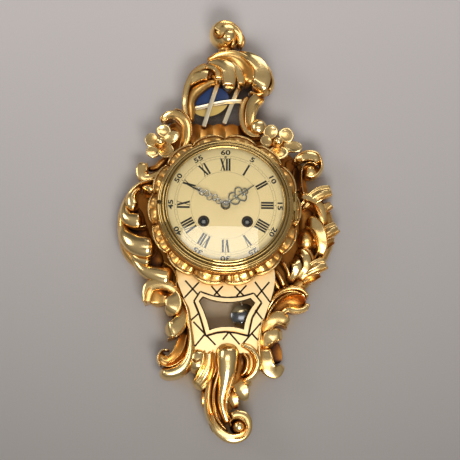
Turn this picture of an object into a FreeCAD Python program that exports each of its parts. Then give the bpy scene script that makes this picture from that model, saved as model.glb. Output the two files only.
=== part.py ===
import FreeCAD, Part
import math
import os

# Gilded cartel wall clock with an eight-day striking movement, in millimetres.
# +Z is up, +X is right and the front faces -Y. The origin is the keyhole of the hanger, on the wall.
# Lengths below are written about the dial's axis: x to the right, z up, and depth out from the wall.

# Where the dial's axis lies below the hanger
HANGER_ABOVE_DIAL = 92.0

# Case: layers counted out from the wall
FRAME_THICK = 10.0
DRUM_FRONT = 36.0
COLLAR_FRONT = 46.0
BOARD_FRONT = 58.0
PANEL_BACK = 26.0
PANEL_FRONT = 34.0
MOULDING_FRONT = 37.0
DRUM_RADIUS = 88.0
DRUM_BORE = 76.0
CASE_OPENING = 72.0
COLLAR_SCALLOPS = 14
COLLAR_CUSP = 97.0
COLLAR_CREST = 101.5
BOARD_RADIUS = 90.0
BOARD_BORE = 50.0
CARVING_GAP = 0.2
SCREW_HOLE = 1.6
TRELLIS_BACK = 13.0
TRELLIS_FRONT = 19.0
TRELLIS_WIDTH = 6.0

# Hanger let into the back of the frame
HANGER_THICK = 2.0
HANGER_FIT = 0.1
HANGER_HALF_WIDTH = 9.0
HANGER_BELOW = 12.0
HANGER_ABOVE = 14.0
HANGER_HOLE = 5.0
HANGER_SLOT = 2.4
HANGER_SLOT_RISE = 8.5
HANGER_SCREW_RADIUS = 1.4
HANGER_SCREWS = [(0.0, 82.5), (0.0, 103.8)]

# Lattice panel and its window: corners, then the points its curved sides pass through
PANEL_LEFT = [(-61, -65), (-60, -98), (-52, -118), (-44, -146), (-41, -172), (-40, -188)]
PANEL_RIGHT = [(46, -188), (47, -172), (51, -146), (60, -120), (66, -96), (61, -65)]
WINDOW_OUTER = [(-31, -110), (-38, -121.5), (-23, -165), (30, -164.5), (47, -123), (38, -111.5)]
WINDOW_OUTER_MIDS = [(4, -117.5), (-30.5, -140), (2, -159.5), (35, -142)]
WINDOW_INNER = [(-28, -115), (-33.5, -121.5), (-19.5, -159.5), (25.5, -158.5), (40.5, -123.5), (34, -116.5)]
WINDOW_INNER_MIDS = [(4, -122.3), (-25.5, -139), (2, -154.8), (30, -140.5)]

# Dial, door and hands
DIAL_RADIUS = 85.5
DIAL_BACK = 64.5
DIAL_FRONT = 66.0
DIAL_CENTRE_HOLE = 6.5
PAN_INNER = 79.0
WIND_X = 28.2
WIND_Z = -22.0
WIND_HOLE = 6.5
RIM_BORE = 5.3
RIM_FLANGE = 7.4
RIM_PROUD = 0.6
BEZEL_RADIUS = 89.0
SIGHT_RADIUS = 75.3
BEZEL_BACK = 59.0
GLASS_APEX = 81.0
GLASS_THICK = 2.0
GLASS_SEAT = 73.4
GLASS_DOME_RADIUS = 74.6
GLASS_EDGE = 81.7
LIP_INNER = 80.2
KNOB_X = -86.0
KNOB_Z = 1.0
KNOB_RADIUS = 2.6
LEAF_SEAT = 89.0
LEAF_THICK = 1.2
DIAL_SCREW = 1.0
DIAL_SCREW_HEAD = 1.8
HINGE_X = 91.8
HINGE_DEPTH = 61.0
HINGE_HALF = 18.0
KNUCKLE_RADIUS = 2.2
KNUCKLE_HALF = 5.8
KNUCKLE_GAP = 0.3
PIN_RADIUS = 1.0
PIN_FIT = 0.05
HOUR_ANGLE = 54.8
MINUTE_ANGLE = 297.0
HOUR_LENGTH = 45.0
MINUTE_LENGTH = 61.0
HOUR_HAND_BACK = 68.2
MINUTE_HAND_BACK = 71.0
HAND_THICK = 0.8

# Movement
FRONT_PLATE_RADIUS = 62.0
FRONT_PLATE_BACK = 43.5
BACK_PLATE_RADIUS = 56.0
BACK_PLATE_BACK = 14.0
PLATE_THICK = 2.5
PILLAR_RADIUS = 3.5
PILLARS = [(47.0, 17.0), (-47.0, 17.0), (14.0, -50.0), (-14.0, -50.0)]
MOVEMENT_SCREWS = [(40.0, 40.0), (-40.0, 40.0), (56.5, -6.0), (-56.5, -6.0)]
DIAL_SCREW_RADIUS = 82.3
BARREL_RADIUS = 23.0
GREAT_TEETH = 80
CENTRE_PINION_TEETH = 30
CENTRE_TEETH = 72
THIRD_PINION_TEETH = 8
CENTRE_MODULE = 0.6
THIRD_TEETH = 64
ESCAPE_PINION_TEETH = 8
THIRD_MODULE = 0.5
ESCAPE_Z = 24.5
ESCAPE_TEETH = 30
ESCAPE_RADIUS = 10.2
THIRD_FROM_CENTRE = CENTRE_MODULE * (CENTRE_TEETH + THIRD_PINION_TEETH) / 2
THIRD_FROM_ESCAPE = THIRD_MODULE * (THIRD_TEETH + ESCAPE_PINION_TEETH) / 2
THIRD_Z = (THIRD_FROM_CENTRE ** 2 + ESCAPE_Z ** 2 - THIRD_FROM_ESCAPE ** 2) / (2 * ESCAPE_Z)
THIRD_X = -math.sqrt(THIRD_FROM_CENTRE ** 2 - THIRD_Z ** 2)
ARBOR_RADIUS = 1.2
WIND_ARBOR_RADIUS = 3.0
RATCHET_TEETH = 20
RATCHET_RADIUS = 9.0
CANNON_TEETH = 12
MINUTE_WHEEL_TEETH = 36
CANNON_MODULE = 0.5
MINUTE_PINION_TEETH = 12
HOUR_WHEEL_TEETH = 48
HOUR_MODULE = 0.4
MOTION_DISTANCE = 12.0
MOTION_STUD = 0.9
CANNON_PIPE = 2.2
HOUR_PIPE = 3.4
CENTRE_TIP = 60.0
ARBOR_BACK = 13.5
ARBOR_FRONT = 46.5
GREAT_BACK = 18.0
BARREL_BACK = 20.0
BARREL_FRONT = 40.0
BARREL_WALL = 1.2
BARREL_HUB = 6.0
RATCHET_BACK = 47.0
RATCHET_FRONT = 49.0
SQUARE_HALF = 1.9
SQUARE_FRONT = 63.0
RUNNING_FIT = 0.06

# Pendulum and strike
SUSPENSION_Z = 42.0
PENDULUM_DEPTH = 8.0
PENDULUM_LENGTH = 180.0
PENDULUM_REST = 8.5
ROD_RADIUS = 1.25
BOB_RADIUS = 16.5
BOB_THICK = 8.0
ANCHOR_STAFF = 1.0
CRUTCH_LENGTH = 27.0
CRUTCH_BACK = 11.3
CRUTCH_FRONT = 12.8
CHOP_BELOW = 15.0
CHOP_HEIGHT = 5.0
LEAF_SPRING_HALF = 0.15
GONG_X = -46.0
GONG_RADIUS = 1.5
HAMMER_PIVOT = (-39.0, 4.0)
HAMMER_HEAD = (-39.0, -32.0)
HAMMER_HEAD_RADIUS = 4.2
HAMMER_STUD = 1.5


def at(x, z, depth):
    return FreeCAD.Vector(x, -depth, z - HANGER_ABOVE_DIAL)


OUTWARD = FreeCAD.Vector(0, -1, 0)


def disc(radius, back, front, x=0.0, z=0.0):
    return Part.makeCylinder(radius, front - back, at(x, z, back), OUTWARD)


def ring(outer, inner, back, front, x=0.0, z=0.0):
    bore = disc(inner, back - 1, front + 1, x, z)
    return disc(outer, back, front, x, z).cut(bore)


def block(x0, x1, z0, z1, back, front):
    return Part.makeBox(x1 - x0, front - back, z1 - z0, at(x0, z0, front))


def prism(edges, back, front):
    face = Part.Face(Part.Wire(edges))
    solid = face.extrude(OUTWARD * (front - back))
    solid.translate(OUTWARD * back)
    return solid


def polygon(points, back, front):
    corners = [at(x, z, 0) for x, z in points]
    return prism(Part.makePolygon(corners + corners[:1]).Edges, back, front)


def smooth_plate(points, back, front):
    curve = Part.BSplineCurve()
    curve.interpolate([at(x, z, 0) for x, z in points], PeriodicFlag=True)
    return prism([curve.toShape()], back, front)


def arc(a, mid, b):
    return Part.Arc(at(*a, 0), at(*mid, 0), at(*b, 0)).toShape()


def line(a, b):
    return Part.LineSegment(at(*a, 0), at(*b, 0)).toShape()


def turned(profile):
    """A solid turned about the dial's axis from (radius, depth) corners."""
    corners = [at(r, 0, d) for r, d in profile]
    face = Part.Face(Part.makePolygon(corners + corners[:1]))
    return face.revolve(at(0, 0, 0), OUTWARD, 360)


def fused(shapes):
    whole = shapes[0]
    if len(shapes) > 1:
        whole = whole.multiFuse(shapes[1:])
    return whole.removeSplitter()


def carved(strands):
    """One carving from its strands, with the seams between them left as they are."""
    return strands[0].multiFuse(strands[1:])


def wheel(teeth, module, back, front, x, z, bore, facing):
    """A toothed wheel with one tooth centred on the angle called facing, in degrees from +x."""
    pitch = teeth * module / 2
    step = 2 * math.pi / teeth
    outline = []
    for i in range(teeth):
        middle = math.radians(facing) + i * step
        for radius, share in ((-0.95, -0.3), (0.55, -0.1), (0.55, 0.1), (-0.95, 0.3)):
            r = pitch + radius * module
            angle = middle + share * step
            outline.append((x + r * math.cos(angle), z + r * math.sin(angle)))
    blank = polygon(outline, back, front)
    if bore:
        blank = blank.cut(disc(bore, back - 1, front + 1, x, z))
    return blank


def band(route, widths, back, heights):
    """A carved strand: flat back, upright flanks and a rounded front, along a curved route."""
    curve = Part.BSplineCurve()
    curve.interpolate([FreeCAD.Vector(x, 0, z) for x, z in route])
    length = curve.length()
    shares = [0, 0.03, 0.08, 0.16, 0.27, 0.38, 0.5, 0.62, 0.73, 0.84, 0.92, 0.97, 1]
    sections = []
    for share in shares:
        u = curve.parameterAtDistance(share * length)
        point = curve.value(u)
        along = curve.tangent(u)[0]
        across = FreeCAD.Vector(-along.z, 0, along.x)
        full = graded(widths, share) / 2
        to_end = min(share, 1 - share) * length
        tip = max(0.4, math.sqrt(max(0.0, 1 - max(0.0, 1 - to_end / full) ** 2)))
        half = full * tip
        height = graded(heights, share) * (0.55 + 0.45 * tip)
        rise = min(0.6 * height, 0.9 * half)
        shoulder = height - rise
        left = point + across * half
        right = point - across * half
        a = at(left.x, left.z, back)
        b = at(left.x, left.z, back + shoulder)
        crown = at(point.x, point.z, back + height)
        c = at(right.x, right.z, back + shoulder)
        d = at(right.x, right.z, back)
        front = Part.Arc(b, crown, c).toShape()
        sections.append(Part.Wire([Part.makeLine(a, b), front, Part.makeLine(c, d), Part.makeLine(d, a)]))
    return Part.makeLoft(sections, True, False)


def graded(values, share):
    """The value at a share of the length, straight between evenly spaced values."""
    place = share * (len(values) - 1)
    i = min(int(place), len(values) - 2)
    return values[i] + (values[i + 1] - values[i]) * (place - i)


def boss(x, z, radius, back, middle):
    """A ball with a stub down to its seat."""
    return Part.makeSphere(radius, at(x, z, middle)).fuse(disc(radius * 0.8, back, middle, x, z))


# The case


def back_frame():
    outline = [(-40, 117), (-10, 121), (20, 119), (45, 113), (72, 103), (95, 82), (111, 66), (113, 45)]
    outline += [(120, 15), (127, -20), (123, -55), (108, -88), (86, -112), (64, -134), (56, -165)]
    outline += [(57, -195), (36, -210), (16, -232), (8, -260), (-8, -260), (-15, -235), (-30, -212)]
    outline += [(-52, -200), (-54, -170), (-60, -142), (-78, -110), (-108, -80), (-128, -45), (-133, -10)]
    outline += [(-122, 22), (-98, 42), (-84, 66), (-80, 92), (-62, 112)]
    plate = smooth_plate(outline, 0, FRAME_THICK)
    slot = [(-38, -20), (-46, -110), (-44, -154), (-33, -170), (33, -170), (44, -154), (46, -110), (38, -20)]
    plate = plate.cut(disc(CASE_OPENING, -1, FRAME_THICK + 1).fuse(polygon(slot, -1, FRAME_THICK + 1)))
    seat = hanger_blank(0, HANGER_THICK + HANGER_FIT, HANGER_FIT)
    pocket = block(-7, 7, HANGER_ABOVE_DIAL - 9, HANGER_ABOVE_DIAL + 11, HANGER_THICK, 8)
    plate = plate.cut(seat).cut(pocket)
    for x, z in HANGER_SCREWS:
        plate = plate.cut(disc(HANGER_SCREW_RADIUS + RUNNING_FIT, -1, 9, x, z))
    return plate


def hanger_blank(back, front, grow):
    bottom = HANGER_ABOVE_DIAL - HANGER_BELOW - grow
    top = HANGER_ABOVE_DIAL + HANGER_ABOVE + grow
    half = HANGER_HALF_WIDTH + grow
    return block(-half, half, bottom, top, back, front)


def hanger_plate():
    plate = hanger_blank(0, HANGER_THICK, 0)
    plate = plate.cut(disc(HANGER_HOLE, -1, HANGER_THICK + 1, 0, HANGER_ABOVE_DIAL))
    top = HANGER_ABOVE_DIAL + HANGER_SLOT_RISE
    plate = plate.cut(block(-HANGER_SLOT, HANGER_SLOT, HANGER_ABOVE_DIAL, top, -1, HANGER_THICK + 1))
    for x, z in HANGER_SCREWS:
        plate = plate.cut(disc(HANGER_SCREW_RADIUS + RUNNING_FIT, -1, HANGER_THICK + 1, x, z))
    return plate


def hanger_screws():
    return Part.makeCompound([disc(HANGER_SCREW_RADIUS, 0.2, 8.5, x, z) for x, z in HANGER_SCREWS])


def drum_ring():
    body = ring(DRUM_RADIUS, DRUM_BORE, FRAME_THICK, DRUM_FRONT)
    return body.cut(block(-38, 38, -100, -30, FRAME_THICK - 1, DRUM_FRONT + 1))


def scalloped_collar():
    edges = []
    step = 2 * math.pi / COLLAR_SCALLOPS
    for i in range(COLLAR_SCALLOPS):
        angles = [math.pi / 2 + (i + share) * step for share in (0, 0.5, 1)]
        radii = (COLLAR_CUSP, COLLAR_CREST, COLLAR_CUSP)
        edges.append(arc(*[(r * math.cos(a), r * math.sin(a)) for r, a in zip(radii, angles)]))
    lip = prism(edges, DRUM_FRONT, COLLAR_FRONT)
    return lip.cut(disc(DRUM_BORE, DRUM_FRONT - 1, COLLAR_FRONT + 1))


def front_board():
    board = ring(BOARD_RADIUS, BOARD_BORE, COLLAR_FRONT, BOARD_FRONT)
    board = board.cut(block(LEAF_SEAT, 100, -HINGE_HALF - 0.5, HINGE_HALF + 0.5, COLLAR_FRONT - 1, 60))
    for x, z in MOVEMENT_SCREWS:
        board = board.cut(disc(SCREW_HOLE, COLLAR_FRONT - 1, 54, x, z))
    for x, z in dial_screw_places():
        board = board.cut(disc(DIAL_SCREW + 0.1, 51, BOARD_FRONT + 1, x, z))
    return board


def fluted_apron():
    """The coved, fluted field above the collar, between the feet of the crest."""
    edges = []
    tops = [-42, -26, -9, 8, 25]
    for left, right in zip(tops[:-1], tops[1:]):
        middle = (left + right) / 2
        edges.append(arc((left, 119.0), (middle, 122.5), (right, 119.0)))
    edges.append(line((25, 119), (25, 88.2)))
    edges.append(line((25, 88.2), (-42, 88.2)))
    edges.append(line((-42, 88.2), (-42, 119)))
    body = prism(edges, FRAME_THICK, 26)
    cove = Part.makeCylinder(34, 100, at(-60, 142, 46), FreeCAD.Vector(1, 0, 0))
    return body.cut(cove).cut(disc(DRUM_RADIUS + CARVING_GAP, 0, 60))


def spline_edge(points):
    curve = Part.BSplineCurve()
    curve.interpolate([at(x, z, 0) for x, z in points])
    return curve.toShape()


def panel_blank(back, front):
    edges = [spline_edge(PANEL_LEFT), line(PANEL_LEFT[-1], PANEL_RIGHT[0]), spline_edge(PANEL_RIGHT)]
    edges.append(line(PANEL_RIGHT[-1], PANEL_LEFT[0]))
    return prism(edges, back, front)


def window_outline(corners, mids, back, front):
    a, b, c, d, e, f = corners
    top, left, bottom, right = mids
    edges = [arc(f, top, a), line(a, b), arc(b, left, c), arc(c, bottom, d), arc(d, right, e), line(e, f)]
    return prism(edges, back, front)


def lattice_panel():
    panel = panel_blank(PANEL_BACK, PANEL_FRONT)
    panel = panel.cut(disc(DRUM_RADIUS + CARVING_GAP, 0, 60))
    return panel.cut(window_outline(WINDOW_OUTER, WINDOW_OUTER_MIDS, PANEL_BACK - 1, PANEL_FRONT + 1))


def window_moulding():
    rim = window_outline(WINDOW_OUTER, WINDOW_OUTER_MIDS, PANEL_BACK, MOULDING_FRONT)
    return rim.cut(window_outline(WINDOW_INNER, WINDOW_INNER_MIDS, PANEL_BACK - 1, MOULDING_FRONT + 1))


def pendulum_box():
    left = [(-57, -92), (-50.5, -118), (-43, -146), (-39.5, -172), (-39, -187), (45, -187), (46, -172)]
    left += [(50, -146), (58.5, -118), (62, -92), (56, -92), (53, -118), (45, -146), (40, -168)]
    left += [(-34, -168), (-38.2, -146), (-45, -118), (-51, -92)]
    return polygon(left, FRAME_THICK, PANEL_BACK).cut(disc(DRUM_RADIUS + CARVING_GAP, 0, 60))


# Carved ornament, each piece seated on the back frame


def finial():
    ball = Part.makeSphere(23, at(1, 254, 24))
    route = [(-20, 248), (-14, 266), (2, 272), (18, 262), (22, 246), (14, 236)]
    return fused([ball, band(route, [6, 12, 14, 12, 8], 16, [24, 28, 26])])


def crest_scroll():
    left_arm = [(-45, 108), (-48, 140), (-47, 165), (-40, 184), (-24, 192)]
    strands = [
        band(left_arm, [12, 12, 13, 12, 8], 10, [20, 22, 20]),
        band([(-51, 168), (-46, 188), (-34, 202), (-24, 200), (-20, 190)], [6, 10, 14, 13], 10, [18, 22, 20]),
        band([(-45, 190), (-32, 206), (-16, 205), (-8, 196), (-6, 184)], [5, 9, 10, 9], 10, [20, 26, 20]),
        band([(-36, 204), (-18, 213), (0, 207), (8, 195), (7, 181)], [5, 12, 15, 14], 10, [22, 30, 22]),
        band([(-24, 212), (0, 216), (17, 208), (23, 194), (22, 184)], [5, 9, 11, 10], 10, [22, 28, 20]),
        band([(-28, 214), (-6, 224), (16, 221), (33, 206), (36, 188)], [6, 14, 20, 22, 20], 10, [20, 24, 20]),
        band([(-12, 226), (16, 229), (40, 216), (56, 194), (48, 176)], [6, 14, 22, 24, 26], 10, [20, 28, 26]),
    ]
    return fused(strands)


def crest_stem():
    route = [(52, 166), (40, 156), (33, 142), (34, 124), (44, 112), (55, 110)]
    return fused([band(route, [20, 17, 15, 14, 12], 10, [18, 22, 22]), boss(47, 120, 10, 10, 24)])


def bar(a, b, width, back, front):
    length = math.hypot(b[0] - a[0], b[1] - a[1])
    nx = -(b[1] - a[1]) / length * width / 2
    nz = (b[0] - a[0]) / length * width / 2
    corners = [(a[0] + nx, a[1] + nz), (b[0] + nx, b[1] + nz), (b[0] - nx, b[1] - nz), (a[0] - nx, a[1] - nz)]
    return polygon(corners, back, front)


def trellis():
    bars = [bar((-9, 190), (-30, 119), TRELLIS_WIDTH, TRELLIS_BACK, TRELLIS_FRONT)]
    bars.append(bar((22, 190), (0, 122), TRELLIS_WIDTH, TRELLIS_BACK, TRELLIS_FRONT))
    bars.append(bar((-44, 147), (32, 160), TRELLIS_WIDTH, TRELLIS_BACK + 1.5, TRELLIS_FRONT - 1.5))
    return fused(bars)


def oval_tag():
    centre = at(-19, 161, 0)
    tilt = math.radians(24)
    long_end = centre + FreeCAD.Vector(math.cos(tilt), 0, math.sin(tilt)) * 27
    short_end = centre + FreeCAD.Vector(-math.sin(tilt), 0, math.cos(tilt)) * 20
    outline = Part.Ellipse(long_end, short_end, centre).toShape()
    return prism([outline], TRELLIS_BACK - 1.2, TRELLIS_BACK)


def left_top_scroll():
    route = [(-82, 126), (-73, 135), (-60, 134), (-51, 120), (-51, 104), (-62, 88)]
    outer = band(route, [7, 11, 12, 12, 12, 10], 10, [14, 20, 18])
    rim = band([(-72, 144), (-60, 142), (-49, 132), (-45, 116), (-49, 100)], [4, 5, 5, 5], 10, [20, 24, 22])
    inner = band([(-74, 119), (-65, 117), (-60, 106), (-64, 92)], [5, 8, 8, 6], 10, [12, 14, 12])
    return fused([outer, rim, inner])


def flower(centre, petals, back, middle):
    shapes = [boss(x, z, r, back, middle) for x, z, r in petals]
    shapes.append(boss(centre[0], centre[1], 5.5, back, middle + 5))
    shapes.append(disc(11, back, middle - 4, *centre))
    return fused(shapes)


def left_flower():
    petals = [(-82, 112, 8.5), (-97, 101, 8.5), (-95, 85, 8.0), (-80, 87, 9.0), (-72, 103, 8.0)]
    return flower((-86, 97), petals, FRAME_THICK, 26)


def right_flower():
    petals = [(64, 114, 8.7), (83, 112, 8.7), (91, 96, 9.0), (74, 86, 10.0), (57, 102, 8.0)]
    return flower((71.5, 101), petals, FRAME_THICK, 26)


def left_shell():
    """Ribbed shell down the left flank, with the small hook that rises from its top."""
    spine = [(-90, 40), (-110, 36), (-126, 22), (-135, 0), (-136, -25), (-130, -50)]
    hook = [(-84, 52), (-95, 46), (-108, 48), (-114, 57), (-109, 68)]
    strands = [
        band(hook, [14, 15, 13, 12, 9], 10, [20, 22, 18]),
        band(spine, [8, 11, 11, 9, 8, 6], 10, [22, 24, 18]),
        band([(-116, 33), (-108, 27), (-98, 24)], [12, 20, 18], 10, [22, 28, 26]),
        band([(-130, 18), (-126, 8), (-115, 4)], [8, 12, 11], 10, [18, 24, 24]),
        band([(-136, 0), (-124, -9), (-104, -12)], [7, 15, 15], 10, [18, 28, 28]),
        band([(-137, -20), (-128, -40), (-110, -51), (-92, -52)], [6, 20, 24, 20], 10, [16, 28, 30]),
        band([(-132, -50), (-116, -66), (-94, -70)], [5, 9, 9], 10, [16, 22, 22]),
        band([(-128, -58), (-112, -78), (-90, -86), (-66, -92)], [8, 16, 22, 18], 10, [16, 24, 24]),
    ]
    return carved(strands)


def right_scroll():
    curl = [(104, 36), (101, 52), (99, 68), (106, 79), (117, 81), (127, 73), (126, 60), (115, 56)]
    volute = band(curl, [8, 9, 11, 12, 12, 12, 11, 10], 10, [18, 22, 24, 22])
    return fused([volute, boss(115, 65, 8, 10, 22)])


def right_acanthus():
    spine = [(98, 22), (114, 20), (128, 8), (134, -10), (131, -34), (122, -62)]
    strands = [
        band(spine, [9, 12, 14, 14, 15, 10], 10, [18, 24, 20]),
        band([(110, -12), (120, -18), (123, -36), (118, -58)], [10, 13, 14, 9], 10, [20, 28, 22]),
        band([(95, -54), (106, -62), (107, -78), (92, -97)], [10, 13, 13, 10], 10, [20, 26, 20]),
        band([(128, -60), (116, -76), (96, -92), (80, -96)], [12, 16, 18, 14], 10, [16, 20, 18]),
        band([(84, -62), (94, -68), (94, -82), (84, -94)], [10, 15, 14, 10], 10, [20, 26, 22]),
        band([(116, 10), (130, 22), (146, 30)], [12, 16, 12], 10, [14, 18, 14]),
        band([(126, -8), (136, 2), (145, 10)], [9, 10, 8], 10, [14, 16, 12]),
        band([(126, -30), (140, -22), (153, -15)], [12, 15, 13], 10, [14, 18, 14]),
        band([(126, -46), (136, -42), (146, -37)], [8, 8, 6], 10, [12, 14, 10]),
        band([(112, -72), (124, -66), (137, -68)], [10, 14, 12], 10, [14, 18, 14]),
        band([(108, -92), (118, -88), (127, -84)], [8, 9, 8], 10, [12, 14, 12]),
    ]
    return fused(strands)


def left_lower_scroll():
    sweep = [(-58, -104), (-51, -122), (-47, -148), (-46, -178), (-54, -199), (-68, -207)]
    sweep += [(-80, -201), (-78, -190)]
    leaf = [(-57, -112), (-68, -101), (-84, -98), (-96, -104), (-99, -118)]
    strands = [
        band(leaf, [8, 12, 15, 16, 15], 10, [20, 24, 24]),
        band([(-66, -104), (-71, -120), (-70, -136)], [8, 13, 12], 10, [18, 26, 24]),
        band(sweep, [7, 10, 12, 14, 18, 17, 14, 11], 10, [24, 30, 30, 26]),
        band([(-56, -124), (-57, -144), (-64, -156), (-76, -158)], [6, 10, 16, 15], 10, [20, 26, 26]),
    ]
    return fused(strands)


def right_lower_scroll():
    curl = [(56, -144), (66, -126), (82, -112), (98, -109), (107, -119), (100, -129)]
    crescent = [(57, -146), (52, -166), (51, -188), (57, -205), (68, -211), (77, -202)]
    strands = [
        band(curl, [7, 11, 15, 18, 16, 12], 10, [22, 28, 28]),
        band([(52, -154), (62, -143), (74, -141), (83, -150)], [6, 10, 12, 9], 10, [20, 24, 20]),
        band([(51, -182), (56, -170), (66, -163), (79, -161)], [8, 13, 14, 10], 10, [22, 28, 22]),
        band(crescent, [9, 10, 11, 12, 7], 10, [20, 26, 22]),
    ]
    return fused(strands)


def bottom_drop():
    """Ribbed drop below the panel, with its leaves and the curl it ends in."""
    stem = [(-13, -192), (-15, -225), (-14, -255), (-4, -281), (10, -290), (25, -285)]
    rib = [(2, -178), (2, -205), (-2, -228), (-5, -250), (3, -271)]
    right_curl = [(18, -182), (34, -188), (40, -203), (32, -217), (21, -219)]
    tail = [(13, -291), (27, -285), (29, -272), (18, -267), (9, -276)]
    strands = [
        band(rib, [26, 23, 18, 13, 9], 10, [40, 38, 32, 26, 20]),
        band(stem, [10, 11, 13, 14, 14, 13], 10, [32, 30, 28, 26]),
        band(tail, [14, 13, 11, 9, 8], 10, [26, 28, 26]),
        boss(18, -281, 8, 10, 28),
        band([(-20, -186), (-20, -206), (-28, -220), (-38, -230)], [16, 16, 15, 9], 10, [30, 28, 20]),
        band([(-20, -228), (-23, -242), (-26, -255)], [8, 9, 7], 10, [16, 16, 14]),
        band(right_curl, [12, 13, 13, 12, 9], 10, [30, 32, 28]),
        band([(18, -218), (26, -226), (33, -231)], [12, 12, 9], 10, [20, 20, 16]),
        band([(10, -214), (19, -233), (29, -249)], [10, 15, 9], 10, [22, 23, 16]),
        band([(8, -236), (12, -248), (16, -257)], [9, 9, 7], 10, [16, 16, 12]),
        band([(-35, -182), (-35, -194), (-35, -209)], [16, 18, 16], 10, [28, 32, 28]),
    ]
    return carved(strands)


# Dial and door


def dial_screw_places():
    places = []
    for degrees in (45, 135, 225, 315):
        angle = math.radians(degrees)
        places.append((DIAL_SCREW_RADIUS * math.cos(angle), DIAL_SCREW_RADIUS * math.sin(angle)))
    return places


def dial_plate():
    """The pressed dial, with the deep rim that stands it off the board."""
    face = ring(DIAL_RADIUS, DIAL_CENTRE_HOLE, DIAL_BACK, DIAL_FRONT)
    plate = fused([face, ring(DIAL_RADIUS, PAN_INNER, BOARD_FRONT, DIAL_BACK)])
    for x in (-WIND_X, WIND_X):
        plate = plate.cut(disc(WIND_HOLE, DIAL_BACK - 1, DIAL_FRONT + 1, x, WIND_Z))
    for x, z in dial_screw_places():
        plate = plate.cut(disc(DIAL_SCREW + 0.1, BOARD_FRONT - 1, DIAL_FRONT + 1, x, z))
    return plate


def dial_screws():
    screws = []
    for x, z in dial_screw_places():
        head = disc(DIAL_SCREW_HEAD, DIAL_FRONT, DIAL_FRONT + 0.8, x, z)
        screws.append(disc(DIAL_SCREW, 52, DIAL_FRONT, x, z).fuse(head))
    return Part.makeCompound(screws)


def winding_hole_rims():
    rims = []
    for x in (-WIND_X, WIND_X):
        tube = ring(WIND_HOLE - RUNNING_FIT, RIM_BORE, DIAL_BACK, DIAL_FRONT, x, WIND_Z)
        flange = ring(RIM_FLANGE, RIM_BORE, DIAL_FRONT, DIAL_FRONT + RIM_PROUD, x, WIND_Z)
        rims.append(tube.fuse(flange))
    return Part.makeCompound(rims)


def bezel_ring():
    groove_back = GLASS_SEAT - GLASS_THICK
    profile = [(86.6, BEZEL_BACK), (BEZEL_RADIUS, BEZEL_BACK), (BEZEL_RADIUS, 66), (87, 69)]
    profile += [(85.5, 72.5), (81, 75), (SIGHT_RADIUS, 75.4), (SIGHT_RADIUS, GLASS_SEAT)]
    profile += [(82, GLASS_SEAT), (82, groove_back), (LIP_INNER, groove_back), (LIP_INNER, 70.2)]
    profile += [(83.6, 70), (86.6, 66)]
    return turned(profile)


def bezel_glass():
    """A domed glass with a flat edge, held between the bezel's front and back lips."""
    rise = GLASS_APEX - GLASS_SEAT
    sphere = (GLASS_DOME_RADIUS ** 2 + rise ** 2) / (2 * rise)
    half = GLASS_DOME_RADIUS / 2
    middle = GLASS_APEX - sphere + math.sqrt(sphere ** 2 - half ** 2)
    back = GLASS_SEAT - GLASS_THICK
    edges = [Part.makeLine(at(GLASS_EDGE, 0, back), at(GLASS_EDGE, 0, GLASS_SEAT))]
    edges.append(Part.makeLine(at(GLASS_EDGE, 0, GLASS_SEAT), at(GLASS_DOME_RADIUS, 0, GLASS_SEAT)))
    dome = Part.Arc(at(GLASS_DOME_RADIUS, 0, GLASS_SEAT), at(half, 0, middle), at(0, 0, GLASS_APEX))
    edges.append(dome.toShape())
    edges.append(Part.makeLine(at(0, 0, GLASS_APEX), at(0, 0, GLASS_APEX - GLASS_THICK)))
    inner_apex = at(0, 0, GLASS_APEX - GLASS_THICK)
    hollow = Part.Arc(inner_apex, at(half, 0, middle - GLASS_THICK), at(GLASS_DOME_RADIUS, 0, back))
    edges.append(hollow.toShape())
    edges.append(Part.makeLine(at(GLASS_DOME_RADIUS, 0, back), at(GLASS_EDGE, 0, back)))
    return Part.Face(Part.Wire(edges)).revolve(at(0, 0, 0), OUTWARD, 360)


def bezel_knob():
    stem = disc(1.1, 70, 73, KNOB_X, KNOB_Z)
    return stem.fuse(Part.makeSphere(KNOB_RADIUS, at(KNOB_X, KNOB_Z, 74.2))).cut(bezel_ring())


def knuckle(z0, z1):
    outer = Part.makeCylinder(KNUCKLE_RADIUS, z1 - z0, at(HINGE_X, z0, HINGE_DEPTH))
    return outer.cut(Part.makeCylinder(PIN_RADIUS + PIN_FIT, z1 - z0, at(HINGE_X, z0, HINGE_DEPTH)))


def hinge_leaf_case():
    inner = KNUCKLE_HALF + KNUCKLE_GAP
    leaf = block(LEAF_SEAT, LEAF_SEAT + LEAF_THICK, -HINGE_HALF, HINGE_HALF, 47, 58.2)
    shapes = [leaf]
    for z0, z1 in ((-HINGE_HALF, -inner), (inner, HINGE_HALF)):
        shapes.append(knuckle(z0, z1))
        web = block(LEAF_SEAT + 0.2, HINGE_X, z0, z1, 57.5, 59.5)
        shapes.append(web.cut(Part.makeCylinder(PIN_RADIUS + PIN_FIT, 40, at(HINGE_X, -20, HINGE_DEPTH))))
    return fused(shapes)


def hinge_leaf_door():
    leaf = block(87, HINGE_X, -KNUCKLE_HALF, KNUCKLE_HALF, 60.6, 63.2)
    leaf = leaf.cut(Part.makeCylinder(PIN_RADIUS + PIN_FIT, 40, at(HINGE_X, -20, HINGE_DEPTH)))
    whole = fused([leaf, knuckle(-KNUCKLE_HALF, KNUCKLE_HALF)])
    return whole.cut(disc(BEZEL_RADIUS, BEZEL_BACK, 66))


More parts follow.
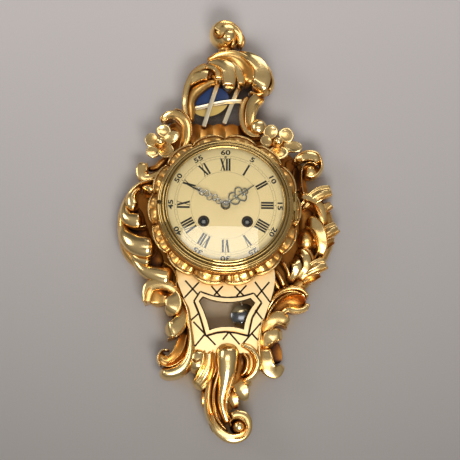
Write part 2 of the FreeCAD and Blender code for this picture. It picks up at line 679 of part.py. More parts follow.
def hinge_pin():
    shaft = Part.makeCylinder(PIN_RADIUS, 2 * HINGE_HALF + 3, at(HINGE_X, -HINGE_HALF - 1.5, HINGE_DEPTH))
    ends = [Part.makeSphere(1.6, at(HINGE_X, z, HINGE_DEPTH)) for z in (-HINGE_HALF - 1.7, HINGE_HALF + 1.7)]
    body = fused([shaft] + ends)
    for z0, z1 in ((-HINGE_HALF, -HINGE_HALF + 1.6), (HINGE_HALF - 1.6, HINGE_HALF)):
        body = body.cut(knuckle(z0, z1))
    return body


def hand(length, loops, back, bore, angle):
    """A pierced hand drawn upright, then turned clockwise to the hour it shows."""
    front = back + HAND_THICK
    shapes = [disc(bore + 2.2, back, front)]
    for x, z, outer, inner in loops:
        shapes.append(ring(outer, inner, back, front, x, z))
    first = min(z for x, z, outer, inner in loops)
    last = max(z + outer for x, z, outer, inner in loops)
    shapes.append(polygon([(-1.1, 0), (1.1, 0), (0.9, first), (-0.9, first)], back, front))
    shapes.append(polygon([(-1.6, last - 1), (1.6, last - 1), (0.5, length), (-0.5, length)], back, front))
    whole = fused(shapes).cut(disc(bore, back - 1, front + 1))
    whole.rotate(at(0, 0, 0), FreeCAD.Vector(0, 1, 0), angle)
    return whole


def hour_hand():
    loops = [(0, 23, 3.6, 2.4)]
    for side in (-1, 1):
        loops += [(side * 3.2, 10, 3.6, 2.4), (side * 3.6, 16.5, 4.2, 3.0)]
    return hand(HOUR_LENGTH, loops, HOUR_HAND_BACK, HOUR_PIPE, HOUR_ANGLE)


def minute_hand():
    loops = [(-1.6, 9, 3.0, 1.9), (1.8, 13.5, 3.2, 2.0), (-1.8, 18.5, 3.4, 2.2), (1.8, 23.5, 3.2, 2.0)]
    loops += [(-1.4, 28, 2.8, 1.7), (1.0, 32, 2.4, 1.4), (-0.4, 35.6, 2.2, 1.2)]
    return hand(MINUTE_LENGTH, loops, MINUTE_HAND_BACK, CANNON_PIPE, MINUTE_ANGLE)


def hand_nut():
    nut = Part.makeCone(4.8, 3.4, 3.2, at(0, 0, MINUTE_HAND_BACK + HAND_THICK), OUTWARD)
    return nut.cut(disc(ARBOR_RADIUS, 60, 80))


# Movement

def plate_holes(plate, back, front):
    for x in (-WIND_X, WIND_X):
        plate = plate.cut(disc(WIND_ARBOR_RADIUS + RUNNING_FIT, back, front, x, WIND_Z))
    for x, z in ((THIRD_X, THIRD_Z), (0, ESCAPE_Z), (0, 0)):
        plate = plate.cut(disc(ARBOR_RADIUS + RUNNING_FIT, back, front, x, z))
    return plate


def front_plate():
    plate = disc(FRONT_PLATE_RADIUS, FRONT_PLATE_BACK, COLLAR_FRONT)
    plate = plate_holes(plate, FRONT_PLATE_BACK - 1, COLLAR_FRONT + 1)
    staff_hole = disc(ANCHOR_STAFF + RUNNING_FIT, FRONT_PLATE_BACK - 1, COLLAR_FRONT + 1, 0, SUSPENSION_Z)
    plate = plate.cut(staff_hole)
    for x, z in MOVEMENT_SCREWS:
        plate = plate.cut(disc(SCREW_HOLE, FRONT_PLATE_BACK - 1, COLLAR_FRONT + 1, x, z))
    stud = disc(MOTION_STUD, COLLAR_FRONT, 55.5, 0, MOTION_DISTANCE)
    return fused([plate, stud])


def back_plate():
    plate = disc(BACK_PLATE_RADIUS, BACK_PLATE_BACK, BACK_PLATE_BACK + PLATE_THICK)
    plate = plate_holes(plate, BACK_PLATE_BACK - 1, BACK_PLATE_BACK + PLATE_THICK + 1)
    plate = plate.cut(disc(4, BACK_PLATE_BACK - 1, BACK_PLATE_BACK + PLATE_THICK + 1, 0, SUSPENSION_Z))
    return fused([plate, disc(HAMMER_STUD, 7, BACK_PLATE_BACK, *HAMMER_PIVOT)])


def plate_pillars():
    """Four turned pillars between the plates and the nuts behind that hold them."""
    back = BACK_PLATE_BACK + PLATE_THICK
    pieces = [disc(PILLAR_RADIUS, back, FRONT_PLATE_BACK, x, z) for x, z in PILLARS]
    pieces += [disc(4, BACK_PLATE_BACK - 2, BACK_PLATE_BACK, x, z) for x, z in PILLARS]
    return Part.makeCompound(pieces)


def movement_screws():
    screws = []
    for x, z in MOVEMENT_SCREWS:
        head = disc(3, FRONT_PLATE_BACK - 2, FRONT_PLATE_BACK, x, z)
        screws.append(head.fuse(disc(1.5, FRONT_PLATE_BACK, 53.5, x, z)))
    return Part.makeCompound(screws)


def great_module():
    return 2 * math.hypot(WIND_X, WIND_Z) / (GREAT_TEETH + CENTRE_PINION_TEETH)


def barrel(side):
    x = side * WIND_X
    facing = math.degrees(math.atan2(-WIND_Z, -x))
    gear = wheel(GREAT_TEETH, great_module(), GREAT_BACK, BARREL_BACK, x, WIND_Z, 0, facing)
    drum = disc(BARREL_RADIUS, BARREL_BACK, BARREL_FRONT, x, WIND_Z)
    floor = BARREL_BACK + BARREL_WALL
    cover = BARREL_FRONT - BARREL_WALL
    cavity = ring(BARREL_RADIUS - BARREL_WALL, BARREL_HUB, floor, cover, x, WIND_Z)
    body = fused([gear, drum]).cut(cavity)
    return body.cut(disc(WIND_ARBOR_RADIUS + RUNNING_FIT, GREAT_BACK - 1, BARREL_FRONT + 1, x, WIND_Z))


def ratchet(x):
    outline = []
    step = 2 * math.pi / RATCHET_TEETH
    for i in range(RATCHET_TEETH):
        for radius, share in ((RATCHET_RADIUS, 0.0), (RATCHET_RADIUS - 1.1, 0.12)):
            angle = (i + share) * step
            outline.append((x + radius * math.cos(angle), WIND_Z + radius * math.sin(angle)))
    return polygon(outline, RATCHET_BACK, RATCHET_FRONT)


def winding_arbor(side):
    x = side * WIND_X
    half = SQUARE_HALF
    square = block(x - half, x + half, WIND_Z - half, WIND_Z + half, RATCHET_FRONT, SQUARE_FRONT)
    shaft = disc(WIND_ARBOR_RADIUS, BACK_PLATE_BACK - 1, RATCHET_FRONT + 3, x, WIND_Z)
    return fused([shaft, square, ratchet(x)])


def winding_clicks():
    clicks = []
    for side in (-1, 1):
        pivot = (side * 17.0, -33.5)
        tip = (side * 21.6, -28.9)
        nose = bar(pivot, tip, 2.2, RATCHET_BACK, RATCHET_FRONT - 0.4)
        clicks.append(fused([nose, disc(2.2, COLLAR_FRONT, RATCHET_FRONT, *pivot)]))
    return Part.makeCompound(clicks)


def centre_wheel():
    facing = math.degrees(math.atan2(WIND_Z, WIND_X)) + 180.0 / CENTRE_PINION_TEETH
    pinion = wheel(CENTRE_PINION_TEETH, great_module(), 17.6, 20.4, 0, 0, 0, facing)
    toward = math.degrees(math.atan2(THIRD_Z, THIRD_X))
    gear = wheel(CENTRE_TEETH, CENTRE_MODULE, 40.8, 42.3, 0, 0, 0, toward)
    return fused([pinion, gear, disc(2.5, 20, 41), disc(ARBOR_RADIUS, ARBOR_BACK, CENTRE_TIP)])


def third_wheel():
    back_to_centre = math.degrees(math.atan2(-THIRD_Z, -THIRD_X)) + 180.0 / THIRD_PINION_TEETH
    pinion = wheel(THIRD_PINION_TEETH, CENTRE_MODULE, 40.4, 42.7, THIRD_X, THIRD_Z, 0, back_to_centre)
    toward = math.degrees(math.atan2(ESCAPE_Z - THIRD_Z, -THIRD_X))
    gear = wheel(THIRD_TEETH, THIRD_MODULE, 35.5, 37, THIRD_X, THIRD_Z, 0, toward)
    return fused([pinion, gear, disc(ARBOR_RADIUS, ARBOR_BACK, ARBOR_FRONT, THIRD_X, THIRD_Z)])


def escape_wheel():
    outline = []
    step = 2 * math.pi / ESCAPE_TEETH
    for i in range(ESCAPE_TEETH):
        for radius, share in ((ESCAPE_RADIUS, 0.0), (ESCAPE_RADIUS - 2.4, 0.25), (ESCAPE_RADIUS - 2.4, 0.8)):
            angle = (i + share) * step
            outline.append((radius * math.cos(angle), ESCAPE_Z + radius * math.sin(angle)))
    rim = polygon(outline, 22, 23.4)
    toward = math.degrees(math.atan2(THIRD_Z - ESCAPE_Z, THIRD_X)) + 180.0 / ESCAPE_PINION_TEETH
    pinion = wheel(ESCAPE_PINION_TEETH, THIRD_MODULE, 35, 37.6, 0, ESCAPE_Z, 0, toward)
    return fused([rim, pinion, disc(ARBOR_RADIUS, ARBOR_BACK, ARBOR_FRONT, 0, ESCAPE_Z)])


def swung(shape):
    """Turns a piece that hangs plumb to where the pendulum rests, right of plumb."""
    shape.rotate(at(0, SUSPENSION_Z, 0), FreeCAD.Vector(0, 1, 0), -PENDULUM_REST)
    return shape


def anchor():
    """Recoil anchor, its arbor, and the crutch that steadies the pendulum rod."""
    top = SUSPENSION_Z
    arms = [(0, top + 2.6), (12.4, top - 6.5), (10.6, top - 9.6), (9.2, top - 8.2), (0, top - 2.4)]
    arms += [(-9.2, top - 8.2), (-10.6, top - 9.6), (-12.4, top - 6.5)]
    body = polygon(arms, 21.8, 23.6)
    staff = disc(ANCHOR_STAFF, CRUTCH_BACK, COLLAR_FRONT, 0, top)
    fork = top - CRUTCH_LENGTH
    crutch = block(-1.3, 1.3, fork, top, CRUTCH_BACK, CRUTCH_FRONT)
    shapes = [body, staff, crutch]
    for side in (-1, 1):
        x0 = min(side * 1.6, side * 2.8)
        shapes.append(block(x0, x0 + 1.2, fork - 1.5, fork + 1, PENDULUM_DEPTH - 1.5, CRUTCH_FRONT))
    shapes.append(block(-2.8, 2.8, fork - 1.5, fork + 1, CRUTCH_BACK, CRUTCH_FRONT))
    return swung(fused(shapes))


def suspension_cock():
    shapes = []
    low = SUSPENSION_Z - 4
    high = SUSPENSION_Z + 10
    for side in (-1, 1):
        x0 = min(side * 4.2, side * 7.2)
        shapes.append(block(x0, x0 + 3, low, high, 4.5, BACK_PLATE_BACK))
    bridge = block(-7.2, 7.2, SUSPENSION_Z + 3, high, 4.5, BACK_PLATE_BACK)
    shapes.append(bridge.cut(block(-1.3, 1.3, SUSPENSION_Z, SUSPENSION_Z + 7, 4, 11.2)))
    return fused(shapes)


def suspension_spring():
    chop_top = SUSPENSION_Z - CHOP_BELOW
    leaf = block(-LEAF_SPRING_HALF, LEAF_SPRING_HALF, chop_top - 1, SUSPENSION_Z + 5, 5.2, 10.5)
    chop = block(-1.5, 1.5, chop_top - CHOP_HEIGHT, chop_top, 5.2, 10.5)
    return swung(fused([leaf, chop]))


def pendulum_rod():
    low = SUSPENSION_Z - PENDULUM_LENGTH - BOB_RADIUS - 9
    high = SUSPENSION_Z - CHOP_BELOW - CHOP_HEIGHT
    return swung(Part.makeCylinder(ROD_RADIUS, high - low, at(0, low, PENDULUM_DEPTH)))


def pendulum_bob():
    centre = SUSPENSION_Z - PENDULUM_LENGTH
    sag = BOB_THICK / 2
    sphere = (BOB_RADIUS ** 2 + sag ** 2) / (2 * sag)
    back_ball = Part.makeSphere(sphere, at(0, centre, PENDULUM_DEPTH + sphere - sag))
    front_ball = Part.makeSphere(sphere, at(0, centre, PENDULUM_DEPTH - sphere + sag))
    rod_hole = Part.makeCylinder(ROD_RADIUS + RUNNING_FIT, 60, at(0, centre - 30, PENDULUM_DEPTH))
    return swung(back_ball.common(front_ball).cut(rod_hole))


def rating_nut():
    top = SUSPENSION_Z - PENDULUM_LENGTH - BOB_RADIUS - 0.4
    nut = Part.makeCylinder(4, 3, at(0, top - 3, PENDULUM_DEPTH))
    return swung(nut.cut(Part.makeCylinder(ROD_RADIUS + RUNNING_FIT, 10, at(0, top - 6, PENDULUM_DEPTH))))


def cannon_pinion():
    leaves = wheel(CANNON_TEETH, CANNON_MODULE, 47.6, 50.4, 0, 0, 0, 90)
    pipe = disc(CANNON_PIPE, 47, MINUTE_HAND_BACK + HAND_THICK)
    tip = disc(ARBOR_RADIUS, MINUTE_HAND_BACK + HAND_THICK, 74.4)
    bore = disc(ARBOR_RADIUS + RUNNING_FIT, COLLAR_FRONT, CENTRE_TIP + 0.5)
    return fused([leaves, pipe, tip]).cut(bore)


def minute_wheel():
    facing = -90 + 180.0 / MINUTE_WHEEL_TEETH
    gear = wheel(MINUTE_WHEEL_TEETH, CANNON_MODULE, 48.2, 49.8, 0, MOTION_DISTANCE, 0, facing)
    pinion = wheel(MINUTE_PINION_TEETH, HOUR_MODULE, 49.8, 54.6, 0, MOTION_DISTANCE, 0, -90)
    return fused([gear, pinion]).cut(disc(MOTION_STUD + RUNNING_FIT, 40, 60, 0, MOTION_DISTANCE))


def hour_wheel():
    gear = wheel(HOUR_WHEEL_TEETH, HOUR_MODULE, 52.2, 53.8, 0, 0, 0, 90 + 180.0 / HOUR_WHEEL_TEETH)
    pipe = disc(HOUR_PIPE, 52.2, HOUR_HAND_BACK + HAND_THICK)
    return fused([gear, pipe]).cut(disc(CANNON_PIPE + RUNNING_FIT, 50, 72))


def gong():
    foot = block(GONG_X - 5, GONG_X + 5, 24, 34, 6, BACK_PLATE_BACK)
    rod = Part.makeCylinder(GONG_RADIUS, 72, at(GONG_X, -48, 9.5))
    return fused([foot, rod])


def strike_hammer():
    x, z = HAMMER_PIVOT
    hub = disc(3, 8, 11, x, z).cut(disc(HAMMER_STUD + RUNNING_FIT, 7, 12, x, z))
    arm = bar((x, z - 2.4), HAMMER_HEAD, 2.4, 8.4, 10.6)
    head = disc(HAMMER_HEAD_RADIUS, 6.5, 12.5, *HAMMER_HEAD)
    return fused([hub, arm, head])


# Build and write every piece


def solid_volume(solid):
    return solid.Volume


def build_carving(solids):
    """Carved pieces in the order they are let in: each later piece is cut to fit the earlier ones."""
    keep_out = disc(DRUM_RADIUS + CARVING_GAP, 0, DRUM_FRONT)
    keep_out = keep_out.fuse(disc(COLLAR_CREST + CARVING_GAP, DRUM_FRONT - CARVING_GAP, 90))
    fixed = [keep_out, solids["lattice_panel"], solids["pendulum_box"], solids["window_moulding"]]
    makers = [fluted_apron, left_flower, right_flower, bottom_drop, crest_scroll, crest_stem, finial]
    makers += [left_shell, right_scroll, right_acanthus, left_lower_scroll, right_lower_scroll]
    makers += [left_top_scroll, trellis, oval_tag]
    placed = []
    for maker in makers:
        shape = maker()
        for other in fixed + placed:
            if shape.BoundBox.intersect(other.BoundBox):
                shape = shape.cut(other)
        shape = max(shape.Solids, key=solid_volume)
        placed.append(shape)
        solids[maker.__name__] = shape


def main():
    os.makedirs("parts", exist_ok=True)
    simple = [back_frame, drum_ring, scalloped_collar, front_board, lattice_panel, window_moulding]
    simple += [pendulum_box, hanger_plate, hanger_screws, dial_plate, dial_screws, winding_hole_rims]
    simple += [bezel_ring, bezel_glass, bezel_knob, hinge_leaf_case, hinge_leaf_door, hinge_pin]
    simple += [hour_hand, minute_hand, hand_nut, front_plate, back_plate, plate_pillars]
    simple += [movement_screws, winding_clicks, centre_wheel, third_wheel, escape_wheel, anchor]
    simple += [suspension_cock, suspension_spring, pendulum_rod, pendulum_bob, rating_nut, cannon_pinion]
    simple += [minute_wheel, hour_wheel, gong, strike_hammer]
    solids = {maker.__name__: maker() for maker in simple}
    for side, name in ((1, "time"), (-1, "strike")):
        solids[name + "_barrel"] = barrel(side)
        solids[name + "_winding_arbor"] = winding_arbor(side)
    build_carving(solids)
    for name, shape in solids.items():
        print(name, shape.isValid(), len(shape.Solids), round(shape.Volume))
        shape.exportStep(os.path.join("parts", name + ".step"))
    print(len(solids), "nodes")


main()
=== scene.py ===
import math

import bpy
import numpy as np
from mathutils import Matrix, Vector


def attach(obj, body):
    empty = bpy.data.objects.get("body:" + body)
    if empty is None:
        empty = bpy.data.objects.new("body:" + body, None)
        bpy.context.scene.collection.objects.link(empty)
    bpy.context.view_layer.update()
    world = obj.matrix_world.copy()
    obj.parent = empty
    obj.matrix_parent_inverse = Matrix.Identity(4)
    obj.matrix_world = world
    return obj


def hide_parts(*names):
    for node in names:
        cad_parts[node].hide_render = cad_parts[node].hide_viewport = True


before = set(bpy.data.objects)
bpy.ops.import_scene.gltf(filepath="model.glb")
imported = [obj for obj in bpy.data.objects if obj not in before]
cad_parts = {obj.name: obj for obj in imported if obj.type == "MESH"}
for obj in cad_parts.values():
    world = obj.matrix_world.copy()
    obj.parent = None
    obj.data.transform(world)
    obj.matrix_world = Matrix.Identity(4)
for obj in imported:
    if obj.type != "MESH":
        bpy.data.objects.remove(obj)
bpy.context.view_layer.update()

# Back frame, drum and board: the carved ground of the case, cut from limewood and gilded over a red-brown
# ground. The gold is worn thin on the flats. The frame carries every other carved piece.
GOLD_TONES = [(0.0, "FFE4A8"), (0.22, "F7D18A"), (0.42, "DFAC60"), (0.6, "B4762E"), (0.8, "6A3C16"), (1.0, "2C1406")]
# Real sizes on the gold: patches rubbed thin, gouge marks under the leaf, grain of the gesso, reach of the painted
# shade in a corner.
WEAR_MM, TOOL_MARK_MM, GESSO_MM, CORNER_MM = 14.0, 9.0, 1.1, 13.0
# The share of the darkening that a hollow (painted shade and stain), a corner (painted shade) and a rubbed patch (wear)
# hold.
HOLLOW_SHADE_AND_STAIN, CORNER_SHADE, WEAR_STAIN = 0.6, 0.66, 0.22


def srgb(code):
    """A colour for a socket, from its sRGB hex code."""
    parts = [int(code[i:i + 2], 16) / 255 for i in (0, 2, 4)]
    linear = [p / 12.92 if p <= 0.04045 else ((p + 0.055) / 1.055) ** 2.4 for p in parts]
    return (*linear, 1.0)


def add(tree, kind, settings=None, **inputs):
    """Adds a node. Inputs are values, sockets or nodes, named with _ for a space, or i and a number."""
    made = tree.nodes.new("ShaderNode" + kind)
    for key, value in (settings or {}).items():
        if key == "stops":
            while len(made.color_ramp.elements) < len(value):
                made.color_ramp.elements.new(0.5)
            for element, (place, code) in zip(made.color_ramp.elements, value):
                element.position = place
                element.color = srgb(code)
        else:
            setattr(made, key, value)
    for key, value in inputs.items():
        numbered = key[0] == "i" and key[1:].isdigit()
        socket = made.inputs[int(key[1:])] if numbered else made.inputs[key.replace("_", " ")]
        if isinstance(value, bpy.types.Node):
            value = value.outputs[0]
        if isinstance(value, bpy.types.NodeSocket):
            tree.links.new(value, socket)
        else:
            socket.default_value = value
    return made


def maths(tree, sign, first, second=0.0, clamp=True):
    return add(tree, "Math", {"operation": sign, "use_clamp": clamp}, i0=first, i1=second)


def spread(tree, value, low, high, first=0.0, last=1.0):
    """A value stretched from one range to another, and held at both ends."""
    return add(tree, "MapRange", Value=value, From_Min=low, From_Max=high, To_Min=first, To_Max=last)


def openness(tree, reach_mm, alone=False):
    """1 where nothing is near, and less in corners and grooves."""
    settings = {"samples": 8, "only_local": alone}
    return add(tree, "AmbientOcclusion", settings, Distance=reach_mm / 1000).outputs["AO"]


def clouds(tree, size_mm, **settings):
    """Noise in patches of a real size, laid in the object's own coordinates."""
    coords = add(tree, "TexCoord").outputs["Object"]
    return add(tree, "TexNoise", Vector=coords, Scale=1000 / size_mm, **settings)


def blank_material(name):
    made = bpy.data.materials.new(name)
    made.use_nodes = True
    made.node_tree.nodes.clear()
    return made, made.node_tree


def plain_surface(tree, **inputs):
    add(tree, "OutputMaterial", Surface=add(tree, "BsdfPrincipled", **inputs))


def gilding(name, tones, base_wear_and_shade, polish, alone=False):
    """Gold leaf over a brown ground: pale where it stands proud, with painted shade in hollows and corners, and rubbed
    patches of wear.
    """
    made, tree = blank_material(name)
    hollow = add(tree, "Attribute", {"attribute_name": "hollow"}).outputs["Fac"]
    # Painted shade: the hollow attribute and how closed in a place is both push the colour toward dark brown.
    corner = maths(tree, "SUBTRACT", 1.0, openness(tree, CORNER_MM, alone))
    shade = maths(tree, "MULTIPLY", corner, CORNER_SHADE)
    deep = maths(tree, "ADD", maths(tree, "MULTIPLY", hollow, HOLLOW_SHADE_AND_STAIN), shade)
    rubbed = maths(tree, "MULTIPLY", clouds(tree, WEAR_MM, Detail=5.0, Roughness=0.6), WEAR_STAIN)
    stain_wear_and_shade = maths(tree, "ADD", maths(tree, "ADD", deep, rubbed), base_wear_and_shade)
    colour = add(tree, "ValToRGB", {"stops": tones}, Fac=stain_wear_and_shade)
    rough = spread(tree, stain_wear_and_shade, 0, 1, polish, 0.5)
    metal = spread(tree, stain_wear_and_shade, 0.5, 1, 1.0, 0.55)
    grain = maths(tree, "MULTIPLY", clouds(tree, GESSO_MM, Detail=3.0), 0.12)
    marks = maths(tree, "ADD", clouds(tree, TOOL_MARK_MM, Detail=2.0), grain)
    bump = add(tree, "Bump", Strength=0.22, Distance=0.0005, Height=marks)
    plain_surface(tree, Base_Color=colour, Metallic=metal, Roughness=rough, Normal=bump, Specular_IOR_Level=0.2)
    return made


def coat(finish, *nodes):
    for name in nodes:
        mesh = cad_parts[name].data
        mesh.materials.clear()
        mesh.materials.append(finish)


# Leaf gold on carved limewood, laid on bole and burnished with agate: sharp highlights on the ridges, warm brown
# painted shade in the hollows and corners, partly stain left there, and a slight waviness from the gouge.
gold_leaf = gilding("gold_leaf_on_carved_wood", GOLD_TONES, 0.0, 0.16)
# The same gold on the flat ground, rubbed thin and not burnished, and made darker all over as painted shade: a dull
# brown field behind the bright carving.
ground_gold_and_shade = gilding("worn_gold_ground_and_shade", GOLD_TONES, 0.6, 0.4, alone=True)
coat(ground_gold_and_shade, "back_frame", "drum_ring", "front_board")

# Hanger, screws and the steel of the movement: a keyhole plate let into the back and screwed, arbors, springs
# and the gong, all of drawn steel, and a bob of steel turned and polished dark on its rod.


def blend(tree, share, first, second):
    """Two colours mixed by a share. Each is a hex code, a colour or another node."""
    first, second = [srgb(c) if isinstance(c, str) else c for c in (first, second)]
    return add(tree, "Mix", {"data_type": "RGBA"}, i0=share, i6=first, i7=second).outputs[2]


def darker(code, share):
    return (*[c * share for c in srgb(code)[:3]], 1.0)


def bare_metal(name, code, rough, grain_mm):
    """Plain metal with a fine drawn grain that varies its colour and its polish."""
    made, tree = blank_material(name)
    grain = clouds(tree, grain_mm, Detail=4.0)
    tone = blend(tree, grain, code, darker(code, 0.72))
    plain_surface(tree, Base_Color=tone, Metallic=1.0, Roughness=spread(tree, grain, 0, 1, rough * 0.7, rough * 1.3))
    return made


# Drawn steel, brushed clean: a cool grey whose fine grain softens its highlights.
steel = bare_metal("bright_steel", "B4B2AC", 0.3, 3.0)
coat(steel, "hanger_plate", "hanger_screws", "movement_screws", "anchor", "suspension_spring", "pendulum_rod", "gong")
coat(steel, "strike_hammer", "hand_nut", "dial_screws", "time_winding_arbor", "strike_winding_arbor")
# Turned steel, buffed: a dark mirror that shows the case and the window as a light edge.
dark_steel = bare_metal("dark_polished_steel", "7C7E80", 0.16, 6.0)
coat(dark_steel, "pendulum_bob")

# Brass of the movement and the hinge: plates, wheels, pinions and pillars cut from sheet and rod, pinned and
# riveted together. The rims of the winding holes and the bezel's knob are turned and left to darken.
# Rolled brass, grained and lacquered: a soft yellow sheen.
brass = bare_metal("lacquered_brass", "D9BC78", 0.26, 5.0)
coat(brass, "front_plate", "back_plate", "plate_pillars", "time_barrel", "strike_barrel", "centre_wheel", "third_wheel")
coat(brass, "escape_wheel", "cannon_pinion", "minute_wheel", "hour_wheel", "suspension_cock", "rating_nut")
coat(brass, "winding_clicks", "hinge_leaf_case", "hinge_leaf_door", "hinge_pin")
# Turned brass, never lacquered, and made darker still so that the rims carry the painted shade of the winding holes:
# they read as black dots on the dial.
dark_brass = bare_metal("darkened_brass_and_hole_shade", "4A3A20", 0.3, 4.0)
coat(dark_brass, "winding_hole_rims", "bezel_knob")

# Scalloped collar round the drum: a turned lip carved into shallow shells with beads and gouge marks, gilded, with warm
# brown painted shade in its hollows, notches and back. It is glued to the front of the drum.
DIAL_BELOW_HANGER = 92.0
COLLAR_SCALLOPS = 14
COLLAR_BORE, COLLAR_NOTCH, SCALLOP_RISE, TOP_RISE = 86.0, 95.5, 6.2, 3.0
COLLAR_BACK, COLLAR_FRONT = 36.0, 49.0
LIP_FALL, DISH_DEEP, BEAD_HIGH, LIP_HIGH, NOTCH_DEEP = 4.5, 2.6, 0.8, 1.6, 2.5


def sheet_mesh(columns, rows):
    """A flat grid; gives the object and each vertex's place across and along, both from 0 to 1."""
    bpy.ops.object.select_all(action="DESELECT")
    bpy.ops.mesh.primitive_grid_add(x_subdivisions=columns, y_subdivisions=rows, size=2)
    made = bpy.context.object
    flat = np.empty(len(made.data.vertices) * 3)
    made.data.vertices.foreach_get("co", flat)
    flat = flat.reshape(-1, 3)
    return made, (flat[:, 0] + 1) / 2, (flat[:, 1] + 1) / 2


def face_outward():
    """Joins the meeting edges of the object at hand and turns its faces outward."""
    bpy.ops.object.mode_set(mode="EDIT")
    bpy.ops.mesh.select_all(action="SELECT")
    bpy.ops.mesh.remove_doubles(threshold=0.00002)
    bpy.ops.mesh.normals_make_consistent(inside=False)
    bpy.ops.object.mode_set(mode="OBJECT")


def keep_stain(made, hollow):
    made.data.attributes.new("hollow", "FLOAT", "POINT").data.foreach_set("value", hollow.astype(np.float32))


def shape_sheet(made, x, z, depth, hollow):
    """Puts the grid's vertices in place, in millimetres about the dial's axis and out from the wall."""
    place = np.stack([x / 1000, -depth / 1000, (z - DIAL_BELOW_HANGER) / 1000], axis=1)
    made.data.vertices.foreach_set("co", place.ravel())
    keep_stain(made, hollow)
    face_outward()
    return made


def finish_piece(name, objects, finish, slot, body="case", *nodes):
    """Joins the objects into one named piece that stands for the CAD nodes given."""
    bpy.ops.object.select_all(action="DESELECT")
    for part in objects:
        part.select_set(True)
    bpy.context.view_layer.objects.active = objects[0]
    if len(objects) > 1:
        bpy.ops.object.join()
    made = bpy.context.object
    bpy.ops.object.transform_apply(location=True, rotation=True, scale=True)
    bpy.ops.object.shade_smooth_by_angle(angle=math.radians(50))
    made.name = name
    made.data.materials.clear()
    made.data.materials.append(finish)
    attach(made, body)
    if nodes:
        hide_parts(*nodes)


def carving(name, objects, node):
    """A gilded piece of the case in place of one CAD node."""
    finish_piece(name, objects, gold_leaf, "gilt_wood", "case", node)


lip, around, across = sheet_mesh(COLLAR_SCALLOPS * 40, 48)
turn = 2 * math.pi * around
wave = np.abs(np.cos(turn * COLLAR_SCALLOPS / 2))
rim = COLLAR_NOTCH + SCALLOP_RISE * wave ** 0.6 + TOP_RISE * np.clip(np.sin(turn), 0, 1) ** 2
# across: 0 to 0.7 is the front from the drum to the lip, then the edge, the back, and the bore
front = np.clip(across / 0.7, 0, 1)
edge = np.clip((across - 0.7) / 0.1, 0, 1)
rear = np.clip((across - 0.8) / 0.1, 0, 1)
bore = np.clip((across - 0.9) / 0.1, 0, 1)
gouge = np.abs(np.sin(turn * COLLAR_SCALLOPS * 1.5 + 0.9 * np.sin(turn * 5))) ** 0.7
# three beads to a half scallop, in a row that wanders a little and rises and falls, as hand work does
bead_row = 0.42 + 0.12 * np.sin(turn * 17 + 0.6)
beads = np.abs(np.sin(turn * COLLAR_SCALLOPS * 3 + 1.4 * np.sin(turn * 9)))
beads = beads * np.clip(1 - np.abs(front - bead_row) / 0.26, 0, 1) * (0.6 + 0.4 * np.sin(turn * 23 + 1))
lip_roll = np.clip((front - 0.78) / 0.12, 0, 1)
radius = COLLAR_BORE + (rim - COLLAR_BORE) * front * (1 - rear)
dish = np.sin(math.pi * np.clip(front / 0.95, 0, 1)) ** 0.7
face = COLLAR_FRONT - LIP_FALL * front - DISH_DEEP * dish * (1 - 0.6 * gouge) + BEAD_HIGH * beads
face = face + LIP_HIGH * np.sin(math.pi * lip_roll) - NOTCH_DEEP * (1 - wave) ** 5
depth = face + (COLLAR_BACK - face) * edge + (COLLAR_FRONT - COLLAR_BACK) * bore
# Painted shade: the dish, the notches between scallops and the edge and back of the lip are made darker, less on the
# beads and gouge ridges.
pits = 0.42 * dish * (1 - 0.7 * beads) * (1 - lip_roll) + 0.12 + 0.4 * (1 - wave) ** 6
shade_and_stain = np.clip(pits * (1 - 0.5 * gouge), 0, 1) * (edge == 0) + 0.6 * (edge > 0)
lip = shape_sheet(lip, radius * np.cos(turn), radius * np.sin(turn), depth, shade_and_stain)
carving("scalloped_collar_carving", [lip], "scalloped_collar")

# Lattice panel and window moulding: flat boards gilded pale, with a trellis of incised lines, and a rounded moulding
# mitred round the pendulum window. The dark of the lines and of the gaps round the moulding is painted shade: flat dark
# strips laid on the board.
PALE_TONES = [(0.0, "FFE2AC"), (0.3, "FBD89C"), (0.5, "E4B666"), (0.75, "9A5E1A"), (1.0, "3A1A05")]
# Pale leaf on a flat board, burnished even: nearly one tone, so that the dark lines stand out on it.
pale_gold = gilding("pale_burnished_gold", PALE_TONES, 0.0, 0.3)
coat(pale_gold, "lattice_panel", "window_moulding", "pendulum_box")
LINE_THICK = 0.1
LATTICE_WIDE, LATTICE_DEPTH = 2.2, 34.06
LATTICE_LINES = [
    (-51, -94, -35, -112), (-33, -96, -52, -117), (-17, -101, -4, -116), (-2, -101, -13, -113), (13, -101, 25, -113),
    (29, -99.5, 16, -114), (40, -95, 60, -122), (59, -95, 42, -115), (-32, -136, -43, -146), (-40, -148, -11, -178),
    (-25, -164, -38, -180), (6, -161, -2, -171), (6, -161, 20, -177), (51, -145, 23, -177), (40, -132, 51, -146),
    (35, -162, 44, -172),
]
FOOT_WIDE, FOOT_DEPTH = 2.6, 34.08
WINDOW_FOOT = [
    (4, -116.4), (-15, -114.2), (-31.4, -108.7), (-39.4, -121.5), (-31.8, -140), (-24, -166.6), (-10, -162.2),
    (2, -160.8), (15, -162), (31, -166), (36.4, -142), (48.6, -122.6), (38.4, -110.2), (22, -114.8), (4, -116.4),
]
REBATE_WIDE, REBATE_DEPTH = 1.5, 36.6
WINDOW_REBATE = [
    (4, -122.9), (-14, -120.6), (-27.8, -115.8), (-32.6, -121.6), (-25, -139), (-19, -158.6), (2, -154.2),
    (25, -157.8), (29.4, -140.5), (39.6, -123.6), (33.8, -117.3), (20, -121), (4, -122.9),
]


